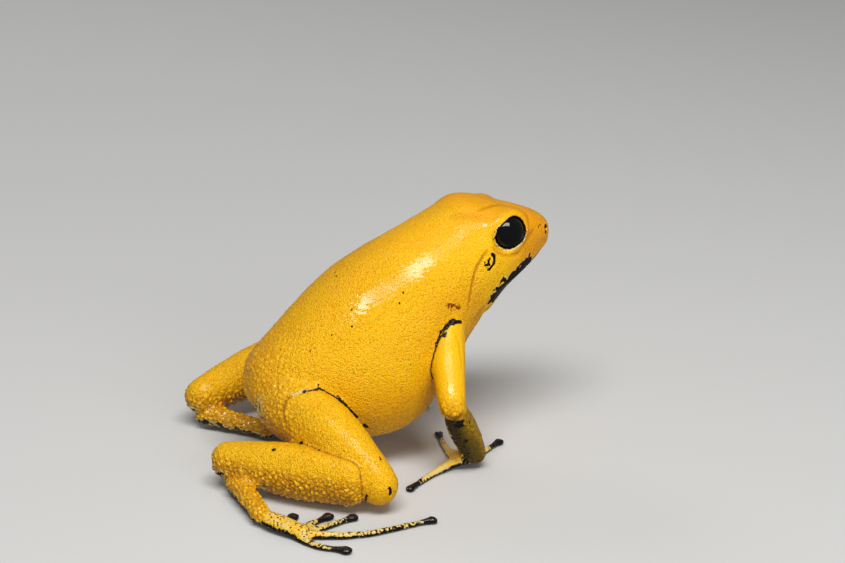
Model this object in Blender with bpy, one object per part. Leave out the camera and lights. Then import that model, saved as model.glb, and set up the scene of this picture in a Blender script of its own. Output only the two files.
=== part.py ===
"""Golden poison frog, life size, sitting with its head raised.

Sizes and places are in millimetres and become metres in the meshes. The frog faces +X,
its left side is +Y and the floor is Z = 0. At the end everything is moved so that the
origin lies under the middle of the frog's box.
"""
import math

import bmesh
import bpy
from mathutils import Matrix, Vector

# Millimetres to metres, and the clearance that touching pieces keep
MM = 0.001
GAP = 0.3

# The trunk leans over to the frog's left by this angle, about a line along the floor
ROLL = math.radians(7.0)
MIDLINE_Y = 4.77

# Eyes, nostrils and eardrums, as (forward, out to the side, up) in the trunk's own frame
EYE_CENTRE = (22.0, 4.35, 25.53)
EYE_RADIUS = 2.3
EYE_FORWARD = math.radians(14.0)
EYE_UPWARD = math.radians(8.0)
EYE_OPENING = 2.05
LID_INSET = 0.1
LID_THICKNESS = 0.46
ORBIT_RADIUS = 3.1
NOSTRIL = (28.0, 2.4, 24.83)
NOSTRIL_RADIUS = 0.32
EARDRUM = (18.87, 7.0, 22.76)
EARDRUM_RADIUS = 0.85
EARDRUM_GROOVE = 0.22
EYE_STEPS = 11
EYE_SIDES = 18

# The lids, as (share of their thickness, rise), and the orbit's flank, as (inset, drop)
LID_PROFILE = ((0.0, 0.0), (0.6, 0.2), (1.4, -0.05))
ORBIT_PROFILE = ((0.15, 0.7), (0.0, 1.5), (0.4, 2.6))
ORBIT_DEPTH = 2.85

# The mouth line in the plane of symmetry, from the lip back to the corner of the jaw
LIP_FRONT = (28.7, 22.9)
JAW_CORNER = (19.8, 19.0)
MOUTH_DEPTH = 0.42
MOUTH_HALF_HEIGHT = 0.2
MOUTH_FADE = 3.0
LIP_SWELL = 0.1

# How square the sections are: 1 is an oval and less is squarer
SQUARENESS = 0.92

# Sections of the trunk and head: (top point, bottom point, half width, widest height)
# Points are (forward, up), and the widest height is a share of the way from bottom to top
TRUNK_SECTIONS = [
    ((-9.5, 11.3), (-9.3, 7.6), 2.6, 0.5),
    ((-8.3, 13.6), (-7.0, 5.9), 4.8, 0.5),
    ((-6.2, 15.3), (-2.6, 3.9), 6.9, 0.48),
    ((-3.5, 17.8), (2.6, 2.2), 8.5, 0.46),
    ((-0.8, 20.2), (7.0, 2.1), 9.4, 0.45),
    ((2.4, 22.6), (10.4, 3.4), 9.6, 0.45),
    ((6.0, 24.5), (13.1, 6.0), 9.1, 0.46),
    ((9.6, 26.0), (15.3, 9.2), 8.4, 0.48),
    ((12.8, 27.4), (17.3, 12.2), 7.6, 0.5),
    ((15.0, 28.4), (18.7, 14.0), 7.2, 0.5),
]
NECK_SECTION = ((15.6, 28.8), (19.0, 14.4), 7.15, 0.5)
HEAD_SECTIONS = [
    ((17.4, 29.7), (20.3, 15.6), 7.05, 0.5),
    ((19.5, 29.6), (21.5, 17.0), 6.9, 0.5),
    ((21.5, 29.0), (22.8, 18.2), 6.45, 0.5),
    ((23.4, 28.3), (24.1, 19.1), 5.7, 0.5),
    ((25.2, 27.7), (25.3, 19.9), 4.75, 0.5),
    ((26.7, 27.1), (26.4, 20.7), 3.75, 0.5),
    ((27.9, 26.5), (27.2, 21.4), 2.9, 0.5),
    ((28.8, 25.7), (27.9, 21.9), 2.1, 0.5),
    ((29.2, 24.7), (28.4, 22.4), 1.2, 0.5),
]
RUMP_END = (-10.0, 9.3)

TRUNK_RINGS = 24
HEAD_RINGS = 20
RING_SIDES = 36
UPPER_STEPS = 11
LOWER_STEPS = 7

# Joints of the arms: shoulder, elbow, wrist
ARMS = {
    "right": {
        "shoulder": (13.4, 1.0, 16.4),
        "elbow": (11.6, -6.6, 9.3),
        "wrist": (15.3, -4.5, 1.8),
        "palm": (13.2, -3.7, 0.8),
        "digits": {
            "first": ((12.6, -4.0), (9.4, -5.6), (5.8, -8.2)),
            "second": ((13.3, -2.8), (13.6, 1.0), (14.2, 4.9)),
            "third": ((14.1, -2.7), (15.9, 0.6), (18.0, 4.4)),
            "fourth": ((14.6, -3.4), (17.6, -1.6), (20.3, 0.3)),
        },
    },
    "left": {
        "shoulder": (13.7, 12.2, 15.3),
        "elbow": (7.7, 18.8, 8.5),
        "wrist": (9.1, 17.7, 1.9),
        "palm": (10.2, 16.8, 0.8),
        "digits": {
            "first": ((10.2, 16.0), (10.4, 13.6), (10.4, 11.0)),
            "second": ((10.7, 16.1), (12.0, 13.7), (12.9, 11.2)),
            "third": ((11.0, 16.5), (13.4, 15.2), (15.6, 13.4)),
            "fourth": ((10.9, 17.1), (13.6, 17.3), (16.4, 17.0)),
        },
    },
}

# Joints of the legs: hip, knee end of the thigh, both ends of the shank, tarsus and toes
LEGS = {
    "right": {
        "hip": (-5.7, 2.8, 8.7),
        "thigh_bulge": (-2.4, -4.7, 6.8),
        "thigh_knee": (0.9, -11.6, 3.2),
        "shank_knee": (-2.2, -10.4, 3.6),
        "heel": (-13.3, 0.3, 3.3),
        "tarsus_heel": (-13.1, -1.6, 1.7),
        "ankle": (-12.6, -10.6, 1.15),
        "sole": (-9.4, -15.2, 0.8),
        "digits": {
            "first": ((-11.4, -12.6), (-10.2, -11.4), (-8.9, -10.4)),
            "second": ((-10.4, -14.2), (-7.8, -12.9), (-5.1, -11.7)),
            "third": ((-9.6, -14.9), (-6.0, -14.0), (-2.6, -12.9)),
            "fourth": ((-9.2, -15.4), (-3.2, -17.3), (5.5, -16.6)),
            "fifth": ((-9.9, -15.6), (-8.6, -18.2), (-5.8, -20.3)),
        },
    },
    "left": {
        "hip": (-5.0, 8.6, 9.0),
        "thigh_bulge": (-0.6, 16.4, 8.0),
        "thigh_knee": (5.6, 23.6, 6.7),
        "shank_knee": (3.3, 24.4, 5.6),
        "heel": (-11.7, 18.2, 3.7),
        "tarsus_heel": (-11.6, 17.3, 1.9),
        "ankle": (-5.4, 11.3, 1.1),
        "sole": (-1.2, 12.2, 0.8),
        "digits": {
            "first": ((-3.0, 11.3), (-1.5, 10.4), (0.0, 9.6)),
            "second": ((-1.6, 11.7), (0.6, 10.9), (3.0, 10.2)),
            "third": ((-0.9, 12.1), (2.4, 11.7), (5.8, 11.1)),
            "fourth": ((-0.6, 12.6), (3.4, 13.4), (7.5, 13.9)),
            "fifth": ((-0.9, 12.9), (1.9, 15.0), (4.4, 17.3)),
        },
    },
}

# Radii of the limbs as (across, up), from the body outwards
UPPER_ARM_RADII = [(2.9, 2.6), (2.05, 2.05), (1.65, 1.65)]
FOREARM_RADII = [(1.45, 1.45), (1.85, 1.75), (1.45, 1.4)]
THIGH_RADII = [(3.7, 4.5), (3.3, 3.9), (2.3, 2.65)]
SHANK_RADII = [(2.3, 3.1), (2.75, 3.3), (2.3, 2.4)]
SHANK_LIFT = 0.1
TARSUS_RADII = [(1.55, 1.5), (1.3, 1.15), (1.25, 1.05)]
PALM_RADII = [(1.2, 0.95), (1.45, 0.85), (1.2, 0.75)]
SOLE_RADII = [(1.15, 0.95), (1.35, 0.85), (1.2, 0.75)]

# A digit narrows to its neck and ends in a flat round disc
FINGER_ROOT = 0.72
FINGER_NECK = 0.42
FINGER_DISC = (0.68, 0.36)
TOE_ROOT = 0.6
TOE_NECK = 0.42
TOE_DISC = (0.8, 0.4)
SOLE_PRESS = 0.07

LIMB_SIDES = 16
LIMB_RINGS = 9
DIGIT_SIDES = 8
DIGIT_RINGS = 9
CAP_ANGLES = (60.0, 30.0)
TANGENT_STEP = 0.02
SHARP_ANGLE = math.radians(40.0)
FLOOR_DEPTH = 10.0

YELLOW = (0.83, 0.42, 0.012)
OLIVE = (0.42, 0.24, 0.02)
MOTTLED = (0.5, 0.33, 0.07)
BLACK = (0.008, 0.007, 0.007)


def trunk_point(forward, side, up):
    """Place of a point of the leaning trunk; side is + to the frog's left."""
    lean = math.sin(ROLL)
    upright = math.cos(ROLL)
    return Vector((forward, MIDLINE_Y + side * upright + up * lean, up * upright - side * lean))


def trunk_direction(forward, side, up):
    """Direction in the trunk's own frame, turned into the floor's."""
    return trunk_point(forward, side, up) - trunk_point(0.0, 0.0, 0.0)


def catmull(p0, p1, p2, p3, t):
    """Smooth value between p1 and p2; works on numbers and vectors."""
    a = p1 * 2.0
    b = (p2 - p0) * t
    c = (p0 * 2.0 - p1 * 5.0 + p2 * 4.0 - p3) * (t * t)
    d = (p1 * 3.0 - p0 - p2 * 3.0 + p3) * (t * t * t)
    return (a + b + c + d) * 0.5


def smooth_at(values, position):
    """Value at a place from 0 to 1 along a smooth run through the given values."""
    last = len(values) - 1
    x = position * last
    i = min(int(x), last - 1)
    before = values[i - 1] if i > 0 else values[i] * 2.0 - values[i + 1]
    after = values[i + 2] if i + 2 <= last else values[i + 1] * 2.0 - values[i]
    return catmull(before, values[i], values[i + 1], after, x - i)


def ring_mesh(rings, start, end):
    """Vertices and triangles of a closed skin over rings, closed by a point at each end."""
    count = len(rings[0])
    verts = [start] + [v for ring in rings for v in ring] + [end]
    faces = []
    for j in range(count):
        faces.append((0, 1 + (j + 1) % count, 1 + j))
    for i in range(len(rings) - 1):
        for j in range(count):
            a = 1 + i * count + j
            b = 1 + i * count + (j + 1) % count
            faces.append((a, b, b + count))
            faces.append((a, b + count, a + count))
    base = 1 + (len(rings) - 1) * count
    for j in range(count):
        faces.append((base + j, base + (j + 1) % count, len(verts) - 1))
    return verts, faces


def add_object(name, verts, faces):
    """New object from points in millimetres, with its faces turned outwards."""
    mesh = bpy.data.meshes.new(name)
    mesh.from_pydata([tuple(Vector(v) * MM) for v in verts], [], faces)
    bm = bmesh.new()
    bm.from_mesh(mesh)
    bmesh.ops.recalc_face_normals(bm, faces=bm.faces)
    bm.to_mesh(mesh)
    bm.free()
    obj = bpy.data.objects.new(name, mesh)
    bpy.context.scene.collection.objects.link(obj)
    return obj


def remove_object(obj):
    """Delete an object with its mesh."""
    mesh = obj.data
    bpy.data.objects.remove(obj)
    bpy.data.meshes.remove(mesh)


def keep_largest(obj):
    """Keep the closed surface with the most faces and drop loose scraps."""
    bm = bmesh.new()
    bm.from_mesh(obj.data)
    bmesh.ops.remove_doubles(bm, verts=bm.verts, dist=1e-7)
    bmesh.ops.dissolve_degenerate(bm, edges=bm.edges, dist=1e-6)
    unseen = set(bm.faces)
    largest = set()
    while unseen:
        group = set()
        border = [unseen.pop()]
        while border:
            face = border.pop()
            group.add(face)
            for edge in face.edges:
                for other in edge.link_faces:
                    if other in unseen:
                        unseen.remove(other)
                        border.append(other)
        if len(group) > len(largest):
            largest = group
    scraps = [f for f in bm.faces if f not in largest]
    bmesh.ops.delete(bm, geom=scraps, context="FACES")
    bmesh.ops.triangulate(bm, faces=bm.faces)
    bm.to_mesh(obj.data)
    bm.free()


def apply_modifiers(obj):
    """Turn an object's modifiers into its mesh."""
    depsgraph = bpy.context.evaluated_depsgraph_get()
    mesh = bpy.data.meshes.new_from_object(obj.evaluated_get(depsgraph))
    obj.modifiers.clear()
    old = obj.data
    obj.data = mesh
    bpy.data.meshes.remove(old)


def cut(obj, cutters):
    """Take each cutter out of an object, then remove the cutters."""
    for cutter in cutters:
        modifier = obj.modifiers.new("cut", "BOOLEAN")
        modifier.operation = "DIFFERENCE"
        modifier.solver = "EXACT"
        modifier.object = cutter
        apply_modifiers(obj)
        remove_object(cutter)
    keep_largest(obj)


def unite(obj, others):
    """Join closed pieces into one closed body."""
    group = bpy.data.collections.new("pieces")
    bpy.context.scene.collection.children.link(group)
    for other in others:
        group.objects.link(other)
    modifier = obj.modifiers.new("join", "BOOLEAN")
    modifier.operation = "UNION"
    modifier.solver = "EXACT"
    modifier.operand_type = "COLLECTION"
    modifier.collection = group
    apply_modifiers(obj)
    for other in others:
        remove_object(other)
    bpy.data.collections.remove(group)
    keep_largest(obj)


def cut_at_floor(obj):
    """Cut off what presses below the floor, which leaves small flats at Z = 0."""
    bm = bmesh.new()
    bmesh.ops.create_cube(bm, size=1.0)
    verts = [(v.co.x * 90.0, v.co.y * 90.0, (v.co.z - 0.5) * FLOOR_DEPTH) for v in bm.verts]
    faces = [[v.index for v in f.verts] for f in bm.faces]
    bm.free()
    cut(obj, [add_object("floor_cutter", verts, faces)])


def rounded(value, power):
    """Sine or cosine made squarer or rounder, with its sign kept."""
    return math.copysign(abs(value) ** power, value)


def mouth_height(forward):
    """Height of the mouth line at a place along the head."""
    slope = (LIP_FRONT[1] - JAW_CORNER[1]) / (LIP_FRONT[0] - JAW_CORNER[0])
    return LIP_FRONT[1] + (forward - LIP_FRONT[0]) * slope


def section_at(sections, position):
    """Smoothly blended section: top, bottom, half width, widest height."""
    top = smooth_at([Vector(s[0]) for s in sections], position)
    bottom = smooth_at([Vector(s[1]) for s in sections], position)
    width = smooth_at([s[2] for s in sections], position)
    widest = smooth_at([s[3] for s in sections], position)
    return top, bottom, width, widest


def section_point(section, angle, grow):
    """Point of a section; the angle runs from the left side over the top."""
    top, bottom, width, widest = section
    middle = bottom.lerp(top, widest)
    arm = (top - middle) if math.sin(angle) > 0.0 else (middle - bottom)
    reach = (arm.length + grow) / arm.length
    height = rounded(math.sin(angle), SQUARENESS) * reach
    place = middle + arm * height
    side = rounded(math.cos(angle), SQUARENESS) * (width + grow)
    return trunk_point(place.x, side, place.y)


def trunk_mesh(grow=0.0):
    """Rings of the trunk from the rump to the neck."""
    sections = TRUNK_SECTIONS + [NECK_SECTION]
    rings = []
    for i in range(TRUNK_RINGS):
        section = section_at(sections, i / (TRUNK_RINGS - 1))
        ring = []
        for j in range(RING_SIDES):
            angle = 2.0 * math.pi * j / RING_SIDES
            ring.append(section_point(section, angle, grow))
        rings.append(ring)
    rump = trunk_point(RUMP_END[0] - grow, 0.0, RUMP_END[1])
    neck = Vector(NECK_SECTION[1]).lerp(Vector(NECK_SECTION[0]), 0.5)
    return ring_mesh(rings, rump, trunk_point(neck.x, 0.0, neck.y))


def head_angles(section):
    """Angles of a head ring, with three steps set on the mouth line."""
    top, bottom, width, widest = section
    middle = bottom.lerp(top, widest)
    steepness = (top.y - bottom.y) / max((top - bottom).length, 0.01)
    below = middle.y - mouth_height(middle.x)
    share = min(max(below / steepness / (middle - bottom).length, -0.95), 0.95)
    mouth = -math.asin(rounded(share, 1.0 / SQUARENESS))
    size = max((middle - bottom).length, width * 0.6)
    half = min(MOUTH_HALF_HEIGHT / size, 0.22)
    right_angle = math.pi / 2.0
    angles = []
    for j in range(UPPER_STEPS):
        angles.append(right_angle + (mouth + half - right_angle) * j / (UPPER_STEPS - 1))
    angles.append(mouth)
    for j in range(LOWER_STEPS):
        angles.append(mouth - half + (-right_angle - mouth + half) * j / (LOWER_STEPS - 1))
    return angles


def head_ring(section, groove):
    """One ring of the head; groove is the mouth's depth there."""
    angles = head_angles(section)
    top, bottom, width, widest = section
    middle = bottom.lerp(top, widest)
    centre = trunk_point(middle.x, 0.0, middle.y)
    half_ring = []
    for j, angle in enumerate(angles):
        point = section_point(section, angle, 0.0)
        inward = (centre - point).normalized()
        if j == UPPER_STEPS:
            point = point + inward * groove
        if j in (UPPER_STEPS - 1, UPPER_STEPS + 1):
            point = point - inward * (LIP_SWELL * groove / MOUTH_DEPTH)
        half_ring.append(point)
    mirrored = [mirror_side(p) for p in half_ring[1:-1]]
    return half_ring + mirrored[::-1]


def mirror_side(point):
    """The same point on the other side of the leaning trunk."""
    left = trunk_direction(0.0, 1.0, 0.0)
    side = (point - trunk_point(0.0, 0.0, 0.0)).dot(left)
    return point - left * (2.0 * side)


def build_head():
    """Head with the mouth line, lids, eye sockets, nostrils and eardrums."""
    start = Vector(NECK_SECTION[0]), Vector(NECK_SECTION[1])
    ahead = GAP / 0.94
    neck = (tuple(start[0] + Vector((ahead, 0.15))), tuple(start[1] + Vector((ahead, 0.3))))
    sections = [(neck[0], neck[1], NECK_SECTION[2], NECK_SECTION[3])] + HEAD_SECTIONS
    rings = []
    for i in range(HEAD_RINGS):
        position = (i / (HEAD_RINGS - 1)) ** 0.93
        section = section_at(sections, position)
        middle = section[1].lerp(section[0], section[3])
        past_corner = (middle.x - JAW_CORNER[0]) / 1.2
        groove = MOUTH_DEPTH * min(max(past_corner, 0.0), 1.0) * min(section[2] / MOUTH_FADE, 1.0)
        rings.append(head_ring(section, groove))
    back = Vector(neck[1]).lerp(Vector(neck[0]), 0.5)
    front = trunk_point(LIP_FRONT[0] + 0.1, 0.0, LIP_FRONT[1])
    verts, faces = ring_mesh(rings, trunk_point(back.x, 0.0, back.y), front)
    head = add_object("head", verts, faces)
    unite(head, [orbit("orbit_right", -1.0), orbit("orbit_left", 1.0)])
    cutters = []
    for side in (-1.0, 1.0):
        cutters.append(eyeball("socket", side, EYE_RADIUS + GAP))
        nostril = trunk_point(NOSTRIL[0], side * NOSTRIL[1], NOSTRIL[2])
        cutters.append(ball("nostril", nostril, NOSTRIL_RADIUS))
        cutters.append(eardrum_groove(side))
    cut(head, cutters)
    return head


def eye_axis(side):
    """Direction in which an eye looks."""
    out = math.cos(EYE_FORWARD) * math.cos(EYE_UPWARD)
    return trunk_direction(math.sin(EYE_FORWARD), side * out, math.sin(EYE_UPWARD)).normalized()


def eye_centre(side):
    """Centre of an eyeball; side is 1 for the frog's left and -1 for its right."""
    return trunk_point(EYE_CENTRE[0], side * EYE_CENTRE[1], EYE_CENTRE[2])


def turned(centre, axis):
    """Matrix that takes +Z to an axis and the origin to a centre."""
    return Matrix.Translation(centre) @ axis.to_track_quat("Z", "Y").to_matrix().to_4x4()


def revolve(name, profile, centre, axis, sides):
    """Closed body turned about an axis from (radius, height) points between two poles."""
    place = turned(centre, axis)
    rings = []
    for radius, height in profile[1:-1]:
        ring = []
        for j in range(sides):
            angle = 2.0 * math.pi * j / sides
            ring.append(place @ Vector((radius * math.cos(angle), radius * math.sin(angle), height)))
        rings.append(ring)
    start = place @ Vector((0.0, 0.0, profile[0][1]))
    end = place @ Vector((0.0, 0.0, profile[-1][1]))
    verts, faces = ring_mesh(rings, start, end)
    return add_object(name, verts, faces)


def eyeball(name, side, radius):
    """Ball of an eye or of its socket."""
    profile = []
    for i in range(EYE_STEPS + 1):
        angle = math.pi * i / EYE_STEPS
        profile.append((radius * math.sin(angle), radius * math.cos(angle)))
    return revolve(name, profile, eye_centre(side), eye_axis(side), EYE_SIDES)


def ball(name, centre, radius):
    """Small plain ball."""
    angle = math.radians(30.0)
    across = radius * math.cos(angle)
    along = radius * math.sin(angle)
    profile = [(0.0, radius), (across, along), (across, -along), (0.0, -radius)]
    return revolve(name, profile, centre, Vector((0.0, 0.0, 1.0)), 8)


def torus(name, centre, axis, radius, thickness, sides, around):
    """Closed ring round an axis."""
    place = turned(centre, axis)
    verts = []
    faces = []
    for i in range(sides):
        turn = 2.0 * math.pi * i / sides
        for j in range(around):
            roll = 2.0 * math.pi * j / around
            reach = radius + thickness * math.cos(roll)
            height = thickness * math.sin(roll)
            verts.append(place @ Vector((reach * math.cos(turn), reach * math.sin(turn), height)))
            a = i * around + j
            b = i * around + (j + 1) % around
            c = ((i + 1) % sides) * around + (j + 1) % around
            d = ((i + 1) % sides) * around + j
            faces.append((a, b, c))
            faces.append((a, c, d))
    return add_object(name, verts, faces)


def orbit(name, side):
    """Swelling of the head round the eye, with the rounded rim of the lids."""
    out = math.sqrt(EYE_RADIUS ** 2 - EYE_OPENING ** 2)
    profile = [(0.0, out)]
    for share, rise in LID_PROFILE:
        profile.append((EYE_OPENING + LID_INSET + LID_THICKNESS * share, out + rise))
    for inset, drop in ORBIT_PROFILE:
        profile.append((ORBIT_RADIUS - inset, out - drop))
    profile.append((0.0, out - ORBIT_DEPTH))
    return revolve(name, profile, eye_centre(side), eye_axis(side), 22)


def eardrum_groove(side):
    """Shallow ring cut round the eardrum."""
    centre = trunk_point(EARDRUM[0], side * EARDRUM[1], EARDRUM[2])
    axis = trunk_direction(0.05, side, 0.1).normalized()
    return torus("eardrum_groove", centre, axis, EARDRUM_RADIUS, EARDRUM_GROOVE, 16, 6)


def limb_frame(tangent, up):
    """Sideways and upward directions of a ring across a limb."""
    across = tangent.cross(up).normalized()
    return across, across.cross(tangent).normalized()


def limb_mesh(path, radii, sides, rings, up, grow):
    """Tube along a smooth path with an oval section and rounded ends."""
    points = [Vector(p) for p in path]
    sizes = [Vector(r) for r in radii]
    stations = []
    for i in range(rings):
        t = i / (rings - 1)
        ahead = smooth_at(points, min(t + TANGENT_STEP, 1.0))
        behind = smooth_at(points, max(t - TANGENT_STEP, 0.0))
        size = smooth_at(sizes, t) + Vector((grow, grow))
        stations.append((smooth_at(points, t), (ahead - behind).normalized(), size))
    first, last = stations[0], stations[-1]
    start_cap = (first[2].x + first[2].y) / 2.0
    end_cap = (last[2].x + last[2].y) / 2.0
    skin = []
    for degrees in CAP_ANGLES:
        angle = math.radians(degrees)
        place = first[0] - first[1] * (start_cap * math.sin(angle))
        skin.append((place, first[1], first[2] * math.cos(angle)))
    skin.extend(stations)
    for degrees in reversed(CAP_ANGLES):
        angle = math.radians(degrees)
        place = last[0] + last[1] * (end_cap * math.sin(angle))
        skin.append((place, last[1], last[2] * math.cos(angle)))
    mesh_rings = []
    for centre, tangent, size in skin:
        across, over = limb_frame(tangent, up)
        ring = []
        for j in range(sides):
            angle = 2.0 * math.pi * (j + 0.5) / sides
            ring.append(centre + across * (size.x * math.cos(angle)) + over * (size.y * math.sin(angle)))
        mesh_rings.append(ring)
    return ring_mesh(mesh_rings, first[0] - first[1] * start_cap, last[0] + last[1] * end_cap)


def limb(name, path, radii, grow=0.0, up=(0.0, 0.0, 1.0)):
    """Limb segment as an object."""
    verts, faces = limb_mesh(path, radii, LIMB_SIDES, LIMB_RINGS, Vector(up), grow)
    return add_object(name, verts, faces)


def midpoint(a, b, share=0.5, lift=0.0):
    """Point between two joints, raised by a lift."""
    return tuple(Vector(a).lerp(Vector(b), share) + Vector((0.0, 0.0, lift)))


def digit(name, places, root, neck, disc):
    """Finger or toe lying on the floor, from its root to its disc."""
    radii = [(root, root), (neck * 1.1, neck * 1.05), (neck, neck), disc]
    base, middle, tip = [Vector(p) for p in places]
    before_disc = middle.lerp(tip, 1.0 - disc[0] * 1.5 / max((tip - middle).length, 0.1))
    path = []
    for place, radius in zip((base, middle, before_disc, tip), radii):
        path.append((place.x, place.y, radius[1] - SOLE_PRESS))
    verts, faces = limb_mesh(path, radii, DIGIT_SIDES, DIGIT_RINGS, Vector((0.0, 0.0, 1.0)), 0.0)
    return add_object(name, verts, faces)


def upper_arm(name, arm, grow=0.0):
    """Upper arm from inside the shoulder to the elbow."""
    path = [arm["shoulder"], midpoint(arm["shoulder"], arm["elbow"]), arm["elbow"]]
    return limb(name, path, UPPER_ARM_RADII, grow, up=(1.0, 0.0, 0.0))


def forearm(name, arm, grow=0.0):
    """Forearm from the elbow to the wrist."""
    path = [arm["elbow"], midpoint(arm["elbow"], arm["wrist"]), arm["wrist"]]
    return limb(name, path, FOREARM_RADII, grow, up=(1.0, 0.0, 0.0))


def thigh(name, leg, grow=0.0):
    """Thigh from inside the hip to the knee."""
    return limb(name, [leg["hip"], leg["thigh_bulge"], leg["thigh_knee"]], THIGH_RADII, grow)


def shank(name, leg, grow=0.0):
    """Shank from the knee back to the heel."""
    path = [leg["shank_knee"], midpoint(leg["shank_knee"], leg["heel"], lift=SHANK_LIFT), leg["heel"]]
    return limb(name, path, SHANK_RADII, grow)


def tarsus(name, leg, grow=0.0):
    """Tarsus from the heel to the ankle."""
    path = [leg["tarsus_heel"], midpoint(leg["tarsus_heel"], leg["ankle"]), leg["ankle"]]
    return limb(name, path, TARSUS_RADII, grow)


def hand(name, arm):
    """Palm and four fingers in one body."""
    body = limb(name, [midpoint(arm["wrist"], arm["palm"], 0.2), midpoint(arm["wrist"], arm["palm"], 0.7),
                       arm["palm"]], PALM_RADII)
    fingers = []
    for finger, places in arm["digits"].items():
        fingers.append(digit(finger, places, FINGER_ROOT, FINGER_NECK, FINGER_DISC))
    unite(body, fingers)
    return body


def foot(name, leg):
    """Sole and five toes in one body."""
    body = limb(name, [leg["ankle"], midpoint(leg["ankle"], leg["sole"]), leg["sole"]], SOLE_RADII)
    toes = []
    for toe, places in leg["digits"].items():
        toes.append(digit(toe, places, TOE_ROOT, TOE_NECK, TOE_DISC))
    unite(body, toes)
    return body


def torso(name, grow=0.0):
    """Trunk from the rump to the neck."""
    verts, faces = trunk_mesh(grow)
    return add_object(name, verts, faces)


def build_arm(side):
    """Upper arm, forearm and hand of one side, each clear of what it grows from."""
    arm = ARMS[side]
    upper = upper_arm("upper_arm_" + side, arm)
    cut(upper, [torso("cutter", GAP)])
    fore = forearm("forearm_" + side, arm)
    cut(fore, [upper_arm("cutter", arm, GAP)])
    cut_at_floor(fore)
    palm = hand("hand_" + side, arm)
    cut(palm, [forearm("cutter", arm, GAP)])
    cut_at_floor(palm)
    return [upper, fore, palm]


def build_leg(side):
    """Thigh, shank, tarsus and foot of one side, each clear of what it grows from."""
    leg = LEGS[side]
    upper = thigh("thigh_" + side, leg)
    cut(upper, [torso("cutter", GAP)])
    lower = shank("shank_" + side, leg)
    cut(lower, [thigh("cutter", leg, GAP), torso("cutter", GAP)])
    cut_at_floor(lower)
    ankle = tarsus("tarsus_" + side, leg)
    cut(ankle, [shank("cutter", leg, GAP)])
    cut_at_floor(ankle)
    toes = foot("foot_" + side, leg)
    cut(toes, [tarsus("cutter", leg, GAP), shank("cutter", leg, GAP)])
    cut_at_floor(toes)
    return [upper, lower, ankle, toes]


def finish(obj, colour, roughness):
    """Give an object its own material and smooth shading."""
    material = bpy.data.materials.new(obj.name)
    material.use_nodes = True
    shader = material.node_tree.nodes["Principled BSDF"]
    shader.inputs["Base Color"].default_value = (*colour, 1.0)
    shader.inputs["Roughness"].default_value = roughness
    shader.inputs["Metallic"].default_value = 0.0
    obj.data.materials.clear()
    obj.data.materials.append(material)
    obj.data.shade_smooth()
    obj.data.set_sharp_from_angle(angle=SHARP_ANGLE)


def centre_on_floor(objects):
    """Move every mesh so that the box's middle stands over the origin, lowest point at 0."""
    corners = [v.co for obj in objects for v in obj.data.vertices]
    low = Vector([min(c[i] for c in corners) for i in range(3)])
    high = Vector([max(c[i] for c in corners) for i in range(3)])
    shift = Vector((-(low.x + high.x) / 2.0, -(low.y + high.y) / 2.0, -low.z))
    for obj in objects:
        obj.data.transform(Matrix.Translation(shift))


def main():
    """Build the frog."""
    for obj in list(bpy.data.objects):
        bpy.data.objects.remove(obj)
    objects = [torso("torso"), build_head()]
    for side, sign in (("right", -1.0), ("left", 1.0)):
        objects.append(eyeball("eye_" + side, sign, EYE_RADIUS))
        objects.extend(build_arm(side))
        objects.extend(build_leg(side))
    centre_on_floor(objects)
    for obj in objects:
        if obj.name.startswith("eye_"):
            finish(obj, BLACK, 0.05)
        elif obj.name.startswith("forearm_"):
            finish(obj, OLIVE, 0.35)
        elif obj.name.startswith(("hand_", "foot_")):
            finish(obj, MOTTLED, 0.35)
        else:
            finish(obj, YELLOW, 0.35)


main()
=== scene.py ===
"""Looks of a life-size golden poison frog: one moist, granular skin over its flesh and two black eyes.

Shapes are worked out in millimetres in the frog's own frame, where it faces +X, its left side is +Y
and the floor is at 0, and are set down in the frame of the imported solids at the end.
"""
import math

import bmesh
import bpy
import numpy as np
from bpy.props import FloatProperty, FloatVectorProperty, PointerProperty
from mathutils import Matrix, Vector, noise
from mathutils.bvhtree import BVHTree


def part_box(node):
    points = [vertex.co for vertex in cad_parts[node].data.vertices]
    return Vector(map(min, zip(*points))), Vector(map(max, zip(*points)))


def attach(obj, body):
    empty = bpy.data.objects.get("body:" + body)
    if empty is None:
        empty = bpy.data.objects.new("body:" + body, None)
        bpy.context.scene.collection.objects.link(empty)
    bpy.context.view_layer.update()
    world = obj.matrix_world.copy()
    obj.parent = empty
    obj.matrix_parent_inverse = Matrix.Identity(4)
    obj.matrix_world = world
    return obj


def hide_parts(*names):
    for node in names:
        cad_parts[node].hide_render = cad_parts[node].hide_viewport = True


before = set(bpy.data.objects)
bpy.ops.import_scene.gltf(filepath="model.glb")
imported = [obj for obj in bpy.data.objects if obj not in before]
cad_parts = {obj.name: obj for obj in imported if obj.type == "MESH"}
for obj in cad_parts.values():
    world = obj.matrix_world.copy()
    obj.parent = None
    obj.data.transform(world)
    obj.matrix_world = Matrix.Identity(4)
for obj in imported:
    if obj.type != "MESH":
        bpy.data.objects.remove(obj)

bl_info = {
    "name": "Golden poison frog",
    "version": (1, 0, 0),
    "blender": (4, 5, 0),
    "location": "3D View > Sidebar > Frog",
    "description": "Skin, eyes and stage of a sitting golden poison frog",
    "category": "Object",
}

MM = 0.001
SIDES = (("right", -1.0), ("left", 1.0))

# The trunk leans over to the frog's left, about a line along the floor
ROLL = math.radians(7.0)
MIDLINE_Y = 4.77

# Places on the head and trunk are (forward, out to the side, up) in the trunk's own frame
EYE_CENTRE = (22.0, 4.35, 25.53)
EYE_RADIUS = 2.3
EYE_FORWARD = math.radians(6.0)
EYE_UPWARD = math.radians(8.0)
# Radius of the ball of flesh round an eye, and how far from its middle the lids reach
EYE_BED = 2.36
EYE_REACH = 3.4
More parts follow.
